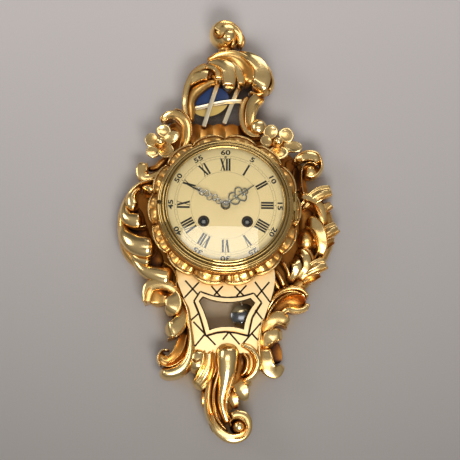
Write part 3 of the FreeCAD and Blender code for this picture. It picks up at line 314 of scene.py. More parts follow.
def stain(name, code, rough):
    """A dark, dull colour with a slight cloudiness, in patches of about 4 mm, used for ink, blackened steel and painted
    shade in grooves.
    """
    made, tree = blank_material(name)
    tone = blend(tree, clouds(tree, 4.0, Detail=3.0), code, darker(code, 0.6))
    plain_surface(tree, Base_Color=tone, Roughness=rough, Specular_IOR_Level=0.15)
    return made


def spot(x, z, depth):
    """A place in metres, from millimetres about the dial's axis and out from the wall."""
    return Vector((x / 1000, -depth / 1000, (z - DIAL_BELOW_HANGER) / 1000))


def flat_strip(points, depth):
    """A thin flat bar: four corners, its front at one depth."""
    bpy.ops.object.select_all(action="DESELECT")
    bpy.ops.mesh.primitive_cube_add(size=1)
    made = bpy.context.object
    corners = {(-1, -1): points[0], (1, -1): points[1], (1, 1): points[2], (-1, 1): points[3]}
    for vertex in made.data.vertices:
        corner = corners[(1 if vertex.co.x > 0 else -1, 1 if vertex.co.y > 0 else -1)]
        vertex.co = spot(*corner, depth if vertex.co.z > 0 else depth - LINE_THICK)
    face_outward()
    return made


def ruled_line(x0, z0, x1, z1, width, depth):
    length = math.hypot(x1 - x0, z1 - z0)
    nx, nz = -(z1 - z0) / length * width / 2, (x1 - x0) / length * width / 2
    return flat_strip([(x0 + nx, z0 + nz), (x0 - nx, z0 - nz), (x1 - nx, z1 - nz), (x1 + nx, z1 + nz)], depth)


lines = [ruled_line(*ends, LATTICE_WIDE, LATTICE_DEPTH) for ends in LATTICE_LINES]
for corners, wide, depth in ((WINDOW_FOOT, FOOT_WIDE, FOOT_DEPTH), (WINDOW_REBATE, REBATE_WIDE, REBATE_DEPTH)):
    lines += [ruled_line(*a, *b, wide, depth) for a, b in zip(corners[:-1], corners[1:])]
# Painted shade: flat brown-black strips in the incised lines and in the gaps round the window moulding, dull beside the
# gold.
groove_shade = stain("painted_groove_shade", "241004", 0.6)
finish_piece("lattice_groove_shade_strips", lines, groove_shade, "gilt_wood")

# Carved strands: every scroll, leaf and lobe is a strand along a curved route, carved with one of a few gouge profiles
# and set on the back frame. Hollows and flanks get painted shade and ridges are left bright; low strands with a high
# shade_and_stain fill the gaps between lobes as painted shade.
FRAME_FRONT = 10.0
# profiles: place across, height, and painted shade (darker in troughs and at the edges); the rim of SCOOP is on the
# left of the way the strand runs
ROLL = [(-1, 0.4, 0.25), (-0.92, 0.64, 0.1), (-0.75, 0.83, 0.02), (-0.4, 0.96, 0), (0, 1, 0), (0.4, 0.96, 0),
        (0.75, 0.83, 0.02), (0.92, 0.64, 0.1), (1, 0.4, 0.25)]
FLAT = [(-1, 0.6, 0.3), (-0.98, 0.92, 0.08), (-0.94, 1, 0), (-0.88, 0.99, 0), (-0.78, 0.94, 0.03), (-0.4, 0.93, 0.02),
        (0, 0.93, 0.02), (0.5, 0.91, 0.05), (0.86, 0.87, 0.06), (0.95, 0.84, 0.08), (0.98, 0.78, 0.15), (1, 0.5, 0.3)]
DOME = [(-1, 0.5, 0.3), (-0.96, 0.74, 0.1), (-0.85, 0.85, 0.04), (-0.5, 0.95, 0), (0, 1, 0), (0.5, 0.96, 0),
        (0.85, 0.85, 0.04), (0.96, 0.72, 0.1), (1, 0.5, 0.3)]
CUP = [(-1, 0.6, 0.15), (-0.94, 0.93, 0), (-0.86, 1, 0), (-0.6, 0.92, 0.04), (0, 0.84, 0.1), (0.6, 0.92, 0.04),
       (0.86, 1, 0), (0.94, 0.93, 0), (1, 0.6, 0.15)]
SCOOP = [(-1, 0.3, 0.35), (-0.9, 0.5, 0.3), (-0.5, 0.43, 0.42), (0, 0.5, 0.38), (0.35, 0.66, 0.22), (0.65, 0.88, 0.06),
         (0.8, 1, 0), (0.9, 0.98, 0), (0.97, 0.82, 0.05), (1, 0.5, 0.2)]
DOUBLE = [(-1, 0.4, 0.2), (-0.88, 0.8, 0.03), (-0.6, 0.95, 0), (-0.3, 0.82, 0.06), (-0.1, 0.56, 0.4), (0.1, 0.58, 0.4),
          (0.3, 0.88, 0.06), (0.6, 1, 0), (0.88, 0.82, 0.03), (1, 0.4, 0.2)]
# a strand's columns from its middle to its edge, then how far each goes down the flank and in along the rear
ACROSS = [0, 0.18, 0.35, 0.5, 0.62, 0.72, 0.8, 0.86, 0.91, 0.95, 0.98, 1, 1, 1, 1, 1, 1]
FLANK = [0] * 12 + [0.35, 0.7, 1, 1, 1]
REAR = [0] * 15 + [0.5, 1]


def smooth_curve(points, per_span):
    """Points along a curve that passes through every point given."""
    p = np.array(points, float)
    ends = np.vstack([2 * p[0] - p[1], p, 2 * p[-1] - p[-2]])
    t = np.linspace(0, 1, per_span, endpoint=False)[:, None]
    spans = []
    for a, b, c, d in zip(ends[:-3], ends[1:-2], ends[2:-1], ends[3:]):
        square, cube = 2 * a - 5 * b + 4 * c - d, 3 * b - a - 3 * c + d
        spans.append(0.5 * (2 * b + (c - a) * t + square * t ** 2 + cube * t ** 3))
    return np.vstack(spans + [p[-1:]])


def eased(share, values):
    """Values spread evenly along a strand, joined by a smooth curve."""
    table = smooth_curve(list(zip(np.linspace(0, 1, len(values)), values)), 12)
    return np.interp(share, table[:, 0], table[:, 1])


def strand(route, widths, fronts, profile=ROLL, flip=False, back=FRAME_FRONT, flutes=0, shade_and_stain=0.0, tips=(1, 1)):
    """A carved strand. Widths and fronts are spread along the route; fronts are depths from the wall."""
    path = smooth_curve(route, 24)
    run = np.concatenate([[0], np.cumsum(np.hypot(*np.diff(path, axis=0).T))])
    rows = int(np.clip(run[-1] / 1.3, 24, 110))
    half_columns = len(ACROSS) - 1
    made, across, share = sheet_mesh(2 * half_columns, rows)
    x, z = [np.interp(share * run[-1], run, path[:, i]) for i in (0, 1)]
    tx, tz = [np.interp(share * run[-1], run, np.gradient(path[:, i], run)) for i in (0, 1)]
    norm = np.hypot(tx, tz)
    full = eased(share, widths) / 2
    # rounded ends: the width and the height run out over a length that tips sets, in half widths
    lead = np.where(share < 0.5, share * run[-1] / (full * tips[0]), (1 - share) * run[-1] / (full * tips[1]))
    tip = np.sqrt(np.clip(1 - (1 - np.clip(lead, 0, 1)) ** 2, 0, 1))
    half = full * tip
    rise = (eased(share, fronts) - back) * (0.4 + 0.6 * tip)
    column = np.round(across * 2 * half_columns).astype(int) - half_columns
    u = np.sign(column) * np.array(ACROSS)[np.abs(column)]
    flank = np.array(FLANK)[np.abs(column)]
    rear = np.array(REAR)[np.abs(column)]
    places, heights, profile_shades = zip(*profile)
    table = smooth_curve(list(zip(places, heights)), 12)
    face = -u if flip else u
    h = np.interp(face, table[:, 0], table[:, 1])
    if flutes:
        h = h - 0.1 * (0.5 - 0.5 * np.cos(2 * math.pi * flutes * (u + 1) / 2)) * np.clip(3 * (1 - np.abs(u)), 0, 1)
    h = 0.8 + (h - 0.8) * tip
    # Painted shade: the profile's troughs and edges, the flute grooves and most of all the flanks and rear are made
    # darker; shade_and_stain adds to it.
    deep = np.interp(face, places, profile_shades) + shade_and_stain + (0.15 if flutes else 0) * (1 - h)
    deep = np.where(flank > 0, 0.35 + 0.5 * flank, np.clip(deep, 0, 1))
    undercut = np.minimum(0.5 * half, 0.2 * rise)
    offset = (half * u - undercut * flank * np.sign(u)) * (1 - rear)
    depth = back + rise * h * (1 - flank)
    return shape_sheet(made, x - tz / norm * offset, z + tx / norm * offset, depth, deep)


def lump(x, z, depth, wide, deep, tall, turn=0.0, shade_and_stain=0.0):
    """A rounded boss: a ball drawn out to the sizes given, turned in the plane of the wall."""
    bpy.ops.object.select_all(action="DESELECT")
    bpy.ops.mesh.primitive_uv_sphere_add(segments=40, ring_count=24, radius=1)
    made = bpy.context.object
    made.location = spot(x, z, depth)
    made.rotation_euler = (0, math.radians(turn), 0)
    made.scale = (wide / 1000, deep / 1000, tall / 1000)
    bpy.ops.object.transform_apply(location=True, rotation=True, scale=True)
    # shade_and_stain darkens the whole boss; dark bosses are painted shade where they sit back among the carving.
    keep_stain(made, np.full(len(made.data.vertices), shade_and_stain))
    return made


# Fluted apron behind the crest: a coved limewood board with broad gouged flutes under thin gold, painted brown as the
# shade behind the crest and darkest in the flutes, glued to the frame above the drum.
APRON_LEFT, APRON_WIDE, APRON_FOOT, APRON_TOP, APRON_THICK = -45, 72, 96, 126.0, 4
board, across, up = sheet_mesh(120, 24)
flute = np.abs(np.sin(math.pi * (across * 4.2 + 0.25)))
top = APRON_TOP + 4.0 * flute
depth = 27 - 13 * up ** 1.4 - 3.5 * flute * (0.4 + 0.6 * up)
x, z = APRON_LEFT + APRON_WIDE * across, APRON_FOOT + (top - APRON_FOOT) * up
board = shape_sheet(board, x, z, depth, 0.5 + 0.25 * flute)
bpy.ops.object.modifier_add(type="SOLIDIFY")
board.modifiers[0].thickness = APRON_THICK / 1000
board.modifiers[0].offset = -1
bpy.ops.object.modifier_apply(modifier=board.modifiers[0].name)
carving("fluted_apron_carving", [board], "fluted_apron")

# Crest: a left arm and six lobes that spring from it and curl over to the right, ending in tips along the
# lower edge of the crest. Carved limewood, gilded, standing on the apron and the left top scroll.
crest = [
    strand([(-45, 129), (-46, 145), (-46, 159), (-41, 171), (-32, 179), (-20, 185), (-10, 187)],
           [8, 12, 14, 17, 17, 12, 7], [20, 26, 28, 29, 28], shade_and_stain=0.42),
    strand([(-51, 135), (-54, 149), (-53, 167), (-50, 179), (-43, 194), (-32, 204), (-23, 208)],
           [7, 7.5, 8, 8, 8, 8, 7], [24, 32, 34, 34, 32], FLAT, flip=True),
    strand([(-51, 178), (-45, 185), (-36, 191), (-28, 193), (-21, 192)],
           [8, 12, 15, 15, 15], [30, 36, 37], FLAT, tips=(1, 0.35)),
    strand([(-28, 206), (-17, 205), (-8, 198), (-7, 186)], [7, 10, 13, 11], [32, 36, 35], FLAT, tips=(1, 0.6)),
    strand([(-20, 195), (-13, 192), (-9, 184)], [7, 10, 8], [28, 30, 30], shade_and_stain=0.3),
    strand([(-23, 214), (-8, 211), (4, 202), (6, 190), (6, 181), (6, 174)],
           [4.5, 12, 19, 21, 20, 15], [30, 38, 41, 42], FLAT, tips=(1, 0.6)),
    strand([(-8, 218), (8, 213), (18, 201), (22, 189), (23, 178)],
           [4.5, 8, 12, 13, 10], [30, 36, 38, 38], FLAT, tips=(1, 0.6)),
    strand([(-24, 217), (-8, 222), (8, 222), (21, 216), (32, 204), (34, 192), (29, 182)],
           [4.5, 10, 15, 20, 24, 22, 15], [28, 34, 36, 36], CUP, shade_and_stain=0.18),
    strand([(16, 231), (35, 219), (47, 207), (51, 193), (49, 181), (42, 172)],
           [4.5, 14, 19, 22, 25, 22], [28, 38, 42, 44, 42], FLAT, tips=(1, 0.9)),
    strand([(47, 223), (60, 207), (65, 193), (66, 182), (60, 172)],
           [3, 6, 7.5, 7.5, 7], [26, 30, 32, 32], shade_and_stain=0.15),
    strand([(-50, 154), (-46, 176), (-34, 193), (-14, 202), (8, 208), (29, 209), (45, 197), (49, 180)],
           [10, 15, 20, 24, 32, 37, 34, 22], [22, 25, 26, 26], shade_and_stain=0.4),
    strand([(34, 173), (44, 168), (54, 170), (63, 178)], [4.5, 7, 7.5, 7], [28, 30, 30], shade_and_stain=0.2),
]
carving("crest_carving", crest, "crest_scroll")

# Crest stem: a gouged stem with a raised edge that drops from the crest to a ball bud at the right flower.
# Carved limewood, gilded, in one with the crest.
stem = [
    strand([(53, 167), (41, 154), (36, 139), (35, 123), (39, 112)], [17, 19, 17, 14, 10], [30, 34, 34, 32], CUP),
    strand([(33, 166), (26, 153), (24, 134), (28, 118), (37, 109), (50, 108)],
           [4.5, 7.5, 7.5, 8, 9, 7], [26, 31, 33, 34], FLAT),
    strand([(44, 166), (33, 151), (30, 135), (34, 119)], [17, 17, 15, 14], [22, 24, 24], shade_and_stain=0.4),
    lump(46, 119, 30, 11, 9, 11.5),
    lump(55, 118, 27, 3.5, 6, 7.5, 8, 0.1),
]
carving("crest_stem_carving", stem, "crest_stem")

# Finial: a ball on a short neck, carved as a curled leaf with its tip wound over the front. Limewood, gilded,
# dowelled to the top of the crest.
snail = [
    lump(1, 255, 25, 22, 20, 21.5, 0, 0.06),
    lump(3, 234, 22, 11, 10, 6.5, 0, 0.35),
    strand([(20, 236), (21, 246), (17, 255), (7, 261), (-5, 260), (-12, 252)],
           [6, 8, 10, 13, 15, 12], [36, 40, 43, 44, 45, 46], FLAT, back=20, tips=(1, 0.6)),
    # A thin strand painted dark as the shade under the curled tip.
    strand([(-15, 256), (-14, 250), (-9, 245), (-3, 246), (1, 251)],
           [2.5, 3.5, 4, 3.5, 2.5], [43, 45, 46, 47, 46], back=30, shade_and_stain=0.8),
    lump(5, 248, 37, 11, 10, 11.5, 0, 0.12),
    strand([(10, 247), (12, 239), (9, 232)], [3.5, 6, 3.5], [44, 44, 40], back=20, shade_and_stain=0.3),
    strand([(23, 239), (26, 249), (23, 262)], [4.5, 7, 3.5], [18, 22, 20], FLAT),
    strand([(11, 233), (16, 238), (19, 242)], [2.5, 2.5], [34, 35, 34]),
]
carving("finial_snail", snail, "finial")

# Trellis in the crest: three flat laths, woven and gilded, with the plain oval card hung behind them. The laths
# are let into the crest and the apron.
laths = [
    strand([(-8, 188), (-18, 156), (-28, 122)], [6, 6], [20, 20], CUP, back=15, tips=(0.1, 0.1)),
    strand([(-41, 149), (-28, 152), (-14, 156), (6, 160), (26, 161)],
           [6, 6], [18, 18, 18], CUP, back=14, tips=(0.1, 0.1)),
    strand([(24, 189), (12, 160), (0, 128)], [6, 6], [17, 17], CUP, back=12.6, tips=(0.1, 0.1)),
]
WHITE_TONES = [(0.0, "FFF8E4"), (0.25, "FBEBC4"), (0.5, "D8B878"), (0.75, "7A4A18"), (1.0, "2E1203")]
# Pale leaf over white gesso, rubbed by hand: nearly white on the faces, with gold and brown painted shade at the
# crossings.
white_gold = gilding("worn_whitened_gold", WHITE_TONES, 0.0, 0.35)
finish_piece("trellis_laths", laths, white_gold, "gilt_wood", "case", "trellis")


def axes(tree, space="Object"):
    """The X, Y and Z of a place, or of a way out into the room."""
    return add(tree, "SeparateXYZ", Vector=add(tree, "TexCoord").outputs[space]).outputs


# Coated card in two flat colours that meet on a slope: a blue field over a yellow one, with a slight sheen.
CARD_SLOPE, CARD_MIDDLE = 0.16, 0.0645
card, tree = blank_material("printed_card")
place = axes(tree)
level = maths(tree, "SUBTRACT", place["Z"], maths(tree, "MULTIPLY", place["X"], CARD_SLOPE, clamp=False), clamp=False)
blue = blend(tree, clouds(tree, 8.333), "27457A", "172C54")
tone = blend(tree, maths(tree, "GREATER_THAN", level, CARD_MIDDLE), "D9B968", blue)
plain_surface(tree, Base_Color=tone, Roughness=0.4)
coat(card, "oval_tag")

# Left top scroll: a C-scroll with a thin raised rim and a small leaf inside it, brown with painted shade. Carved
# limewood, gilded, glued to the frame at the foot of the crest.
scroll = [
    strand([(-84, 126), (-81, 133), (-71, 136), (-60, 131), (-52, 120), (-51, 106), (-54, 94), (-61, 86)],
           [7, 12, 15, 16, 14, 14, 12, 7], [24, 30, 32, 32, 28], CUP),
    strand([(-69, 145), (-60, 142), (-51, 134), (-45, 121), (-45, 108), (-48, 95)],
           [6, 3.5, 3.5, 3.5, 3.5, 3.5], [30, 35, 34]),
    strand([(-82, 126), (-74, 130), (-64, 128), (-58, 119), (-57, 108), (-59, 96), (-62, 84)],
           [3, 3], [28, 34, 34, 30]),
    strand([(-75, 122), (-66, 121), (-60, 111), (-62, 96), (-67, 89)],
           [4.5, 12, 14, 14, 8], [22, 26, 24], SCOOP, shade_and_stain=0.2),
]
carving("left_top_scroll_carving", scroll, "left_top_scroll")

# Flowers: five cupped petals round a bead, each flower on a short stalk. Limewood petals, gilded and burnished,
# carved one by one and glued round the bead.
FLOWER_FRONT = 33
# a petal's section from its middle to its rim and round to its back: share of its radius, and height
PETAL_SECTION = [(0, -1.2), (0.45, -0.8), (0.8, 0), (0.94, -0.2), (1, -1.4), (0.88, -4.4), (0, -5)]
PETAL_LEAN = 0.28


def flower(name, centre, petals, node):
    """Five petals round a bead. Each petal is its middle and two sizes, and leans out from the bead."""
    # The back bead is darkened as painted shade under the petals.
    made = [lump(*centre, FLOWER_FRONT + 4.5, 6, 6, 6), lump(*centre, FLOWER_FRONT - 9, 10, 9, 10, 0, 0.6)]
    section = smooth_curve(PETAL_SECTION, 5)
    for x, z, wide, tall in petals:
        disc, around, along = sheet_mesh(48, len(section) - 1)
        step = np.round(along * (len(section) - 1)).astype(int)
        share, height = section[step].T
        angle = 2 * math.pi * around
        out = math.atan2(z - centre[1], x - centre[0])
        side, ahead = 1.4 * wide * share * np.cos(angle), 1.3 * tall * share * np.sin(angle)
        disc_x = x + ahead * math.cos(out) - side * math.sin(out)
        disc_z = z + ahead * math.sin(out) + side * math.cos(out)
        # Painted shade: a petal's middle is a little darker and its back much darker.
        hollow = 0.12 * (share < 0.5) + 0.5 * (step > 26)
        made.append(shape_sheet(disc, disc_x, disc_z, FLOWER_FRONT + height + PETAL_LEAN * ahead, hollow))
    carving(name, made, node)


left_petals = [(-82, 111, 7, 6.6), (-98, 98, 7.2, 7), (-96, 82, 6.6, 7), (-79, 84, 7.6, 8.7), (-72, 102, 6, 8.6)]
flower("left_flower_carving", (-86.5, 95), left_petals, "left_flower")
right_petals = [(63, 112, 7.8, 7.3), (84, 108, 7.8, 7.3), (92, 92, 6, 10.4), (73, 83, 10, 7.8), (57, 99, 6, 6.5)]
flower("right_flower_carving", (72.5, 97), right_petals, "right_flower")

# Left flank: a shell of overlapping lobes whose tips curl in over the collar, with painted shade between them, and a
# small hook scroll rising from its top. Carved limewood, gilded, glued to the frame.
shell = [
    strand([(-109, 41), (-124, 27), (-133, 7), (-135, -14), (-133, -36), (-127, -55), (-115, -69), (-99, -80)],
           [8, 10, 12, 14, 14, 14, 12, 10], [20, 24, 26, 26, 24], shade_and_stain=0.25),
    strand([(-108, 70), (-111, 58), (-108, 47), (-100, 46), (-92, 51), (-84, 56)],
           [8, 15, 15, 10, 8, 7], [30, 32, 31, 28], FLAT, flip=True),
    strand([(-104, 67), (-103, 59), (-106, 52)], [2.5, 2.5], [34, 34]),
    strand([(-103, 62), (-92, 65), (-85, 72), (-77, 80)], [7, 9, 9, 8], [17, 18, 18], shade_and_stain=0.6),
    strand([(-89, 44), (-102, 42), (-115, 36), (-125, 26), (-130, 15)], [6, 7, 7, 7, 4.5], [28, 34, 30]),
    strand([(-98, 40), (-100, 30), (-104, 22)], [15, 22, 20], [32, 37, 36], DOME),
    strand([(-111, 34), (-120, 26), (-124, 17), (-122, 8), (-115, 4)],
           [7, 9, 13, 17, 15], [28, 35, 38], DOME, tips=(1, 0.7)),
    strand([(-130, 18), (-132, 4), (-129, -8), (-118, -14), (-107, -14)],
           [7, 12, 17, 22, 22], [24, 36, 42], DOME, tips=(1, 0.7)),
    strand([(-134, 12), (-137, -4), (-136, -22), (-134, -38)], [4.5, 7, 7.5, 7], [20, 25, 24], shade_and_stain=0.12),
    strand([(-126, -21), (-113, -23), (-102, -20)], [3, 4.5, 4.5], [28, 34, 34], shade_and_stain=0.2),
    strand([(-135, -13), (-131, -32), (-118, -46), (-101, -51), (-89, -52)],
           [8, 17, 25, 29, 27], [22, 38, 46, 48], DOME, tips=(1, 0.8)),
    strand([(-132, -43), (-123, -55), (-112, -65), (-96, -70)], [4.5, 8, 12, 14], [20, 32, 38], DOME, tips=(1, 0.8)),
    strand([(-130, -50), (-118, -64), (-104, -79), (-86, -86), (-67, -90)],
           [4.5, 10, 17, 24, 27], [20, 30, 36, 38], DOME, tips=(1, 0.7)),
    strand([(-80, -69), (-68, -78), (-62, -91), (-63, -103)], [3, 3], [34, 40, 36]),
    # A low ground strand behind the lobes, painted dark as the shade between them.
    strand([(-122, 10), (-118, -20), (-108, -48), (-84, -74)], [22, 32, 34, 26], [15, 16, 16], shade_and_stain=0.85),
]
carving("left_shell_carving", shell, "left_shell")

# Right scroll: a volute on a thin raised stem, with a bright bowl inside. Carved limewood, gilded, glued to the
# frame below the right flower.
volute = [
    strand([(96, 71), (97, 78), (104, 84), (115, 87), (126, 84), (131, 75), (132, 64), (126, 55), (117, 51),
            (108, 54)],
           [3.5, 4.5, 6, 6, 6, 6, 7, 7.5, 7.5, 4.5], [26, 30, 32, 32, 30]),
    strand([(98, 70), (103, 76), (113, 79), (123, 76), (127, 68)], [7, 12, 14, 12, 7], [26, 34, 36, 34], FLAT),
    strand([(107, 25), (104, 38), (104, 55), (107, 65), (114, 69), (122, 68), (126, 65)],
           [3.5, 3.5], [30, 34, 36, 34]),
    strand([(107, 58), (117, 57), (127, 61)], [10, 15, 12], [30, 33, 31], FLAT, flip=True, shade_and_stain=0.08),
    strand([(106, 58), (116, 62), (127, 70)], [15, 22, 19], [25, 28, 27], CUP, shade_and_stain=0.1),
    strand([(99, 34), (99, 50), (101, 66)], [14, 14, 10], [20, 24, 22], SCOOP, shade_and_stain=0.3),
    # A low ground strand, painted dark as the shade behind the volute.
    strand([(88, 79), (93, 67), (96, 50), (100, 33)], [14, 17, 17, 15], [13, 14, 14], shade_and_stain=0.85),
]
carving("right_scroll_carving", volute, "right_scroll")

# Right flank: an acanthus leaf with fluted outer tips and three nested leaves that open toward the dial. Carved
# limewood, gilded, glued to the frame.
acanthus = [
    strand([(104, 7), (118, 20), (132, 28), (146, 32)],
           [8, 17, 20, 15], [24, 33, 36, 34], FLAT, flutes=2, tips=(1, 0.5)),
    strand([(120, -6), (134, 6), (146, 14)], [8, 14, 10], [22, 30, 29], FLAT, flutes=1, tips=(1, 0.6)),
    strand([(117, -46), (130, -33), (142, -24), (153, -18)],
           [8, 15, 20, 15], [24, 33, 36, 34], FLAT, flutes=2, tips=(1, 0.5)),
    strand([(123, -52), (136, -43), (147, -36)], [8, 12, 8], [22, 29, 27], FLAT, flutes=1, tips=(1, 0.6)),
    strand([(99, -89), (112, -79), (125, -72), (137, -68)],
           [8, 15, 20, 15], [24, 33, 36, 34], FLAT, flutes=2, tips=(1, 0.5)),
    strand([(101, -94), (115, -88), (128, -82)], [8, 12, 8], [22, 30, 28], FLAT, flutes=1, tips=(1, 0.6)),
    strand([(101, 26), (112, 22), (123, 14), (130, 1), (134, -19)], [8, 12, 14, 12, 8], [28, 34, 34, 26], FLAT),
    strand([(106, 18), (116, 14), (125, 6), (132, -9)], [3.5, 3.5], [30, 37, 36, 28]),
    strand([(113, 13), (122, 6), (130, -7)], [7, 8, 7], [24, 29, 25], shade_and_stain=0.1),
    strand([(109, -11), (118, -14), (126, -27), (130, -44), (126, -59)],
           [12, 19, 17, 15, 10], [32, 38, 36, 28], FLAT, flip=True),
    strand([(107, -19), (117, -24), (123, -38), (123, -54), (115, -69)], [3, 3.5, 3.5, 3.5, 3], [34, 40, 36, 28]),
    lump(111, -35, 17, 13, 12, 15.5, 0, 0.25),
    strand([(135, 0), (137, -28), (131, -52), (120, -73)], [7, 9, 10, 8], [18, 24, 24, 20], shade_and_stain=0.1),
    strand([(97, -52), (104, -54), (109, -63), (108, -78), (98, -91)], [8, 12, 12, 12, 8], [28, 34, 32, 24], FLAT),
    strand([(103, -45), (113, -52), (118, -66), (111, -84)], [7, 9, 10, 8], [24, 29, 24], shade_and_stain=0.15),
    strand([(90, -62), (95, -71), (94, -81), (86, -94)], [12, 14, 10, 7], [32, 39, 35, 26], FLAT),
    strand([(119, -68), (112, -84), (101, -95), (86, -104)], [12, 17, 19, 12], [18, 21, 21], shade_and_stain=0.15),
    strand([(75, -64), (84, -78), (87, -92)], [8, 8, 7], [28, 31, 26], shade_and_stain=0.12),
    strand([(66, -75), (75, -89), (80, -101)], [8, 8, 7], [28, 30, 26], shade_and_stain=0.12),
    strand([(96, 22), (112, 8), (118, -14), (116, -50), (94, -84)], [20, 30, 34, 34, 24], [16, 18, 17], shade_and_stain=0.6),
    strand([(125, 22), (138, 1), (141, -30), (132, -57), (120, -78)],
           [12, 15, 17, 15, 12], [19, 23, 23, 20], shade_and_stain=0.2),
]
carving("right_acanthus_carving", acanthus, "right_acanthus")

# Left lower scroll: a leaf that curls over above, two lobes, and a C-scroll that runs down the panel. Carved
# limewood, gilded, glued beside the lattice panel.
lower_left = [
    strand([(-55, -122), (-61, -109), (-73, -100), (-87, -98), (-98, -104), (-101, -124)],
           [7, 12, 15, 17, 15, 10], [28, 34, 36, 35], FLAT, flip=True, shade_and_stain=0.05, tips=(1, 0.5)),
    strand([(-76, -103), (-85, -110), (-87, -126)], [20, 27, 27], [29, 30, 30], CUP, shade_and_stain=0.25, tips=(1, 0.3)),
    strand([(-95, -103), (-101, -110), (-103, -125)], [3.5, 3.5], [36, 38, 37]),
    strand([(-74, -105), (-68, -114), (-66, -126), (-72, -139)], [15, 22, 22, 14], [28, 35, 37, 35], FLAT, flip=True),
    strand([(-56, -122), (-55, -140), (-62, -155), (-76, -161)], [8, 15, 22, 24], [28, 36, 40], FLAT, flip=True),
    strand([(-48, -141), (-53, -156), (-63, -167), (-74, -171)], [3, 3.5, 3.5, 3.5], [32, 37, 37]),
    strand([(-56, -114), (-48, -132), (-45, -153), (-43, -178), (-47, -198), (-58, -210), (-72, -214), (-82, -209)],
           [6, 8, 8, 10, 15, 19, 19, 15], [34, 40, 40, 39, 37]),
    strand([(-49, -158), (-52, -174), (-59, -190), (-71, -199), (-80, -195), (-78, -187)],
           [10, 17, 19, 17, 14, 10], [28, 34, 35, 34], CUP, shade_and_stain=0.12),
    strand([(-60, -112), (-56, -133), (-57, -154), (-49, -173), (-52, -190), (-64, -204)],
           [17, 22, 19, 10, 15, 14], [18, 22, 22], shade_and_stain=0.5),
    strand([(-70, -184), (-80, -185), (-85, -195), (-81, -205)], [3.5, 4.5, 4.5, 4.5], [32, 35, 35]),
    strand([(-74, -202), (-63, -197), (-53, -183), (-48, -164)], [3.5, 3.5], [36, 39, 36]),
]
carving("left_lower_scroll_carving", lower_left, "left_lower_scroll")

# Right lower scroll: a volute, a lobe, a leaf and a crescent, sprung from one rib along the panel. Carved
# limewood, gilded, glued beside the lattice panel.
lower_right = [
    strand([(51, -146), (58, -126), (70, -111), (85, -103), (101, -104), (111, -114)],
           [4.5, 7.5, 10, 11, 10, 7], [26, 32, 34, 33], shade_and_stain=0.2),
    strand([(54, -145), (63, -128), (75, -116), (90, -110), (103, -111)], [3, 4, 4, 4, 3.5], [34, 39, 40, 38]),
    strand([(57, -141), (68, -127), (82, -119), (96, -119), (106, -125)],
           [8, 17, 25, 25, 17], [28, 36, 36, 34], SCOOP),
    strand([(74, -136), (83, -131), (94, -133), (105, -130), (110, -121)],
           [6, 7.5, 8, 7.5, 6], [32, 38, 38, 34], FLAT),
    strand([(50, -170), (54, -155), (65, -143), (76, -143), (82, -152)],
           [8, 14, 17, 19, 12], [26, 34, 34], FLAT, shade_and_stain=0.05),
    strand([(54, -168), (62, -156), (72, -151), (83, -155)], [3, 3.5, 4, 3], [32, 38, 35]),
    strand([(48, -184), (54, -172), (64, -165), (77, -163)], [12, 17, 19, 17], [28, 38, 38], FLAT),
    strand([(52, -177), (53, -191), (57, -206), (67, -212), (78, -202)],
           [14, 19, 19, 15, 7], [30, 35, 33, 26], FLAT, flip=True),
    strand([(53, -162), (62, -140), (74, -125), (92, -116)], [12, 20, 27, 24], [18, 22, 22], shade_and_stain=0.5),
    strand([(50, -185), (56, -172), (67, -159)], [12, 20, 17], [18, 22, 20], shade_and_stain=0.5),
    # The inside of the lower curl, painted nearly black as shade.
    strand([(60, -166), (66, -181), (70, -200)], [14, 19, 14], [16, 17, 16], CUP, shade_and_stain=0.95),
    strand([(51, -140), (47, -161), (45, -184), (48, -204)], [6, 7, 7.5, 7], [34, 38, 36]),
    strand([(60, -80), (68, -95), (74, -105)], [8, 8, 7], [27, 29, 26], shade_and_stain=0.12),
]
carving("right_lower_scroll_carving", lower_right, "right_lower_scroll")

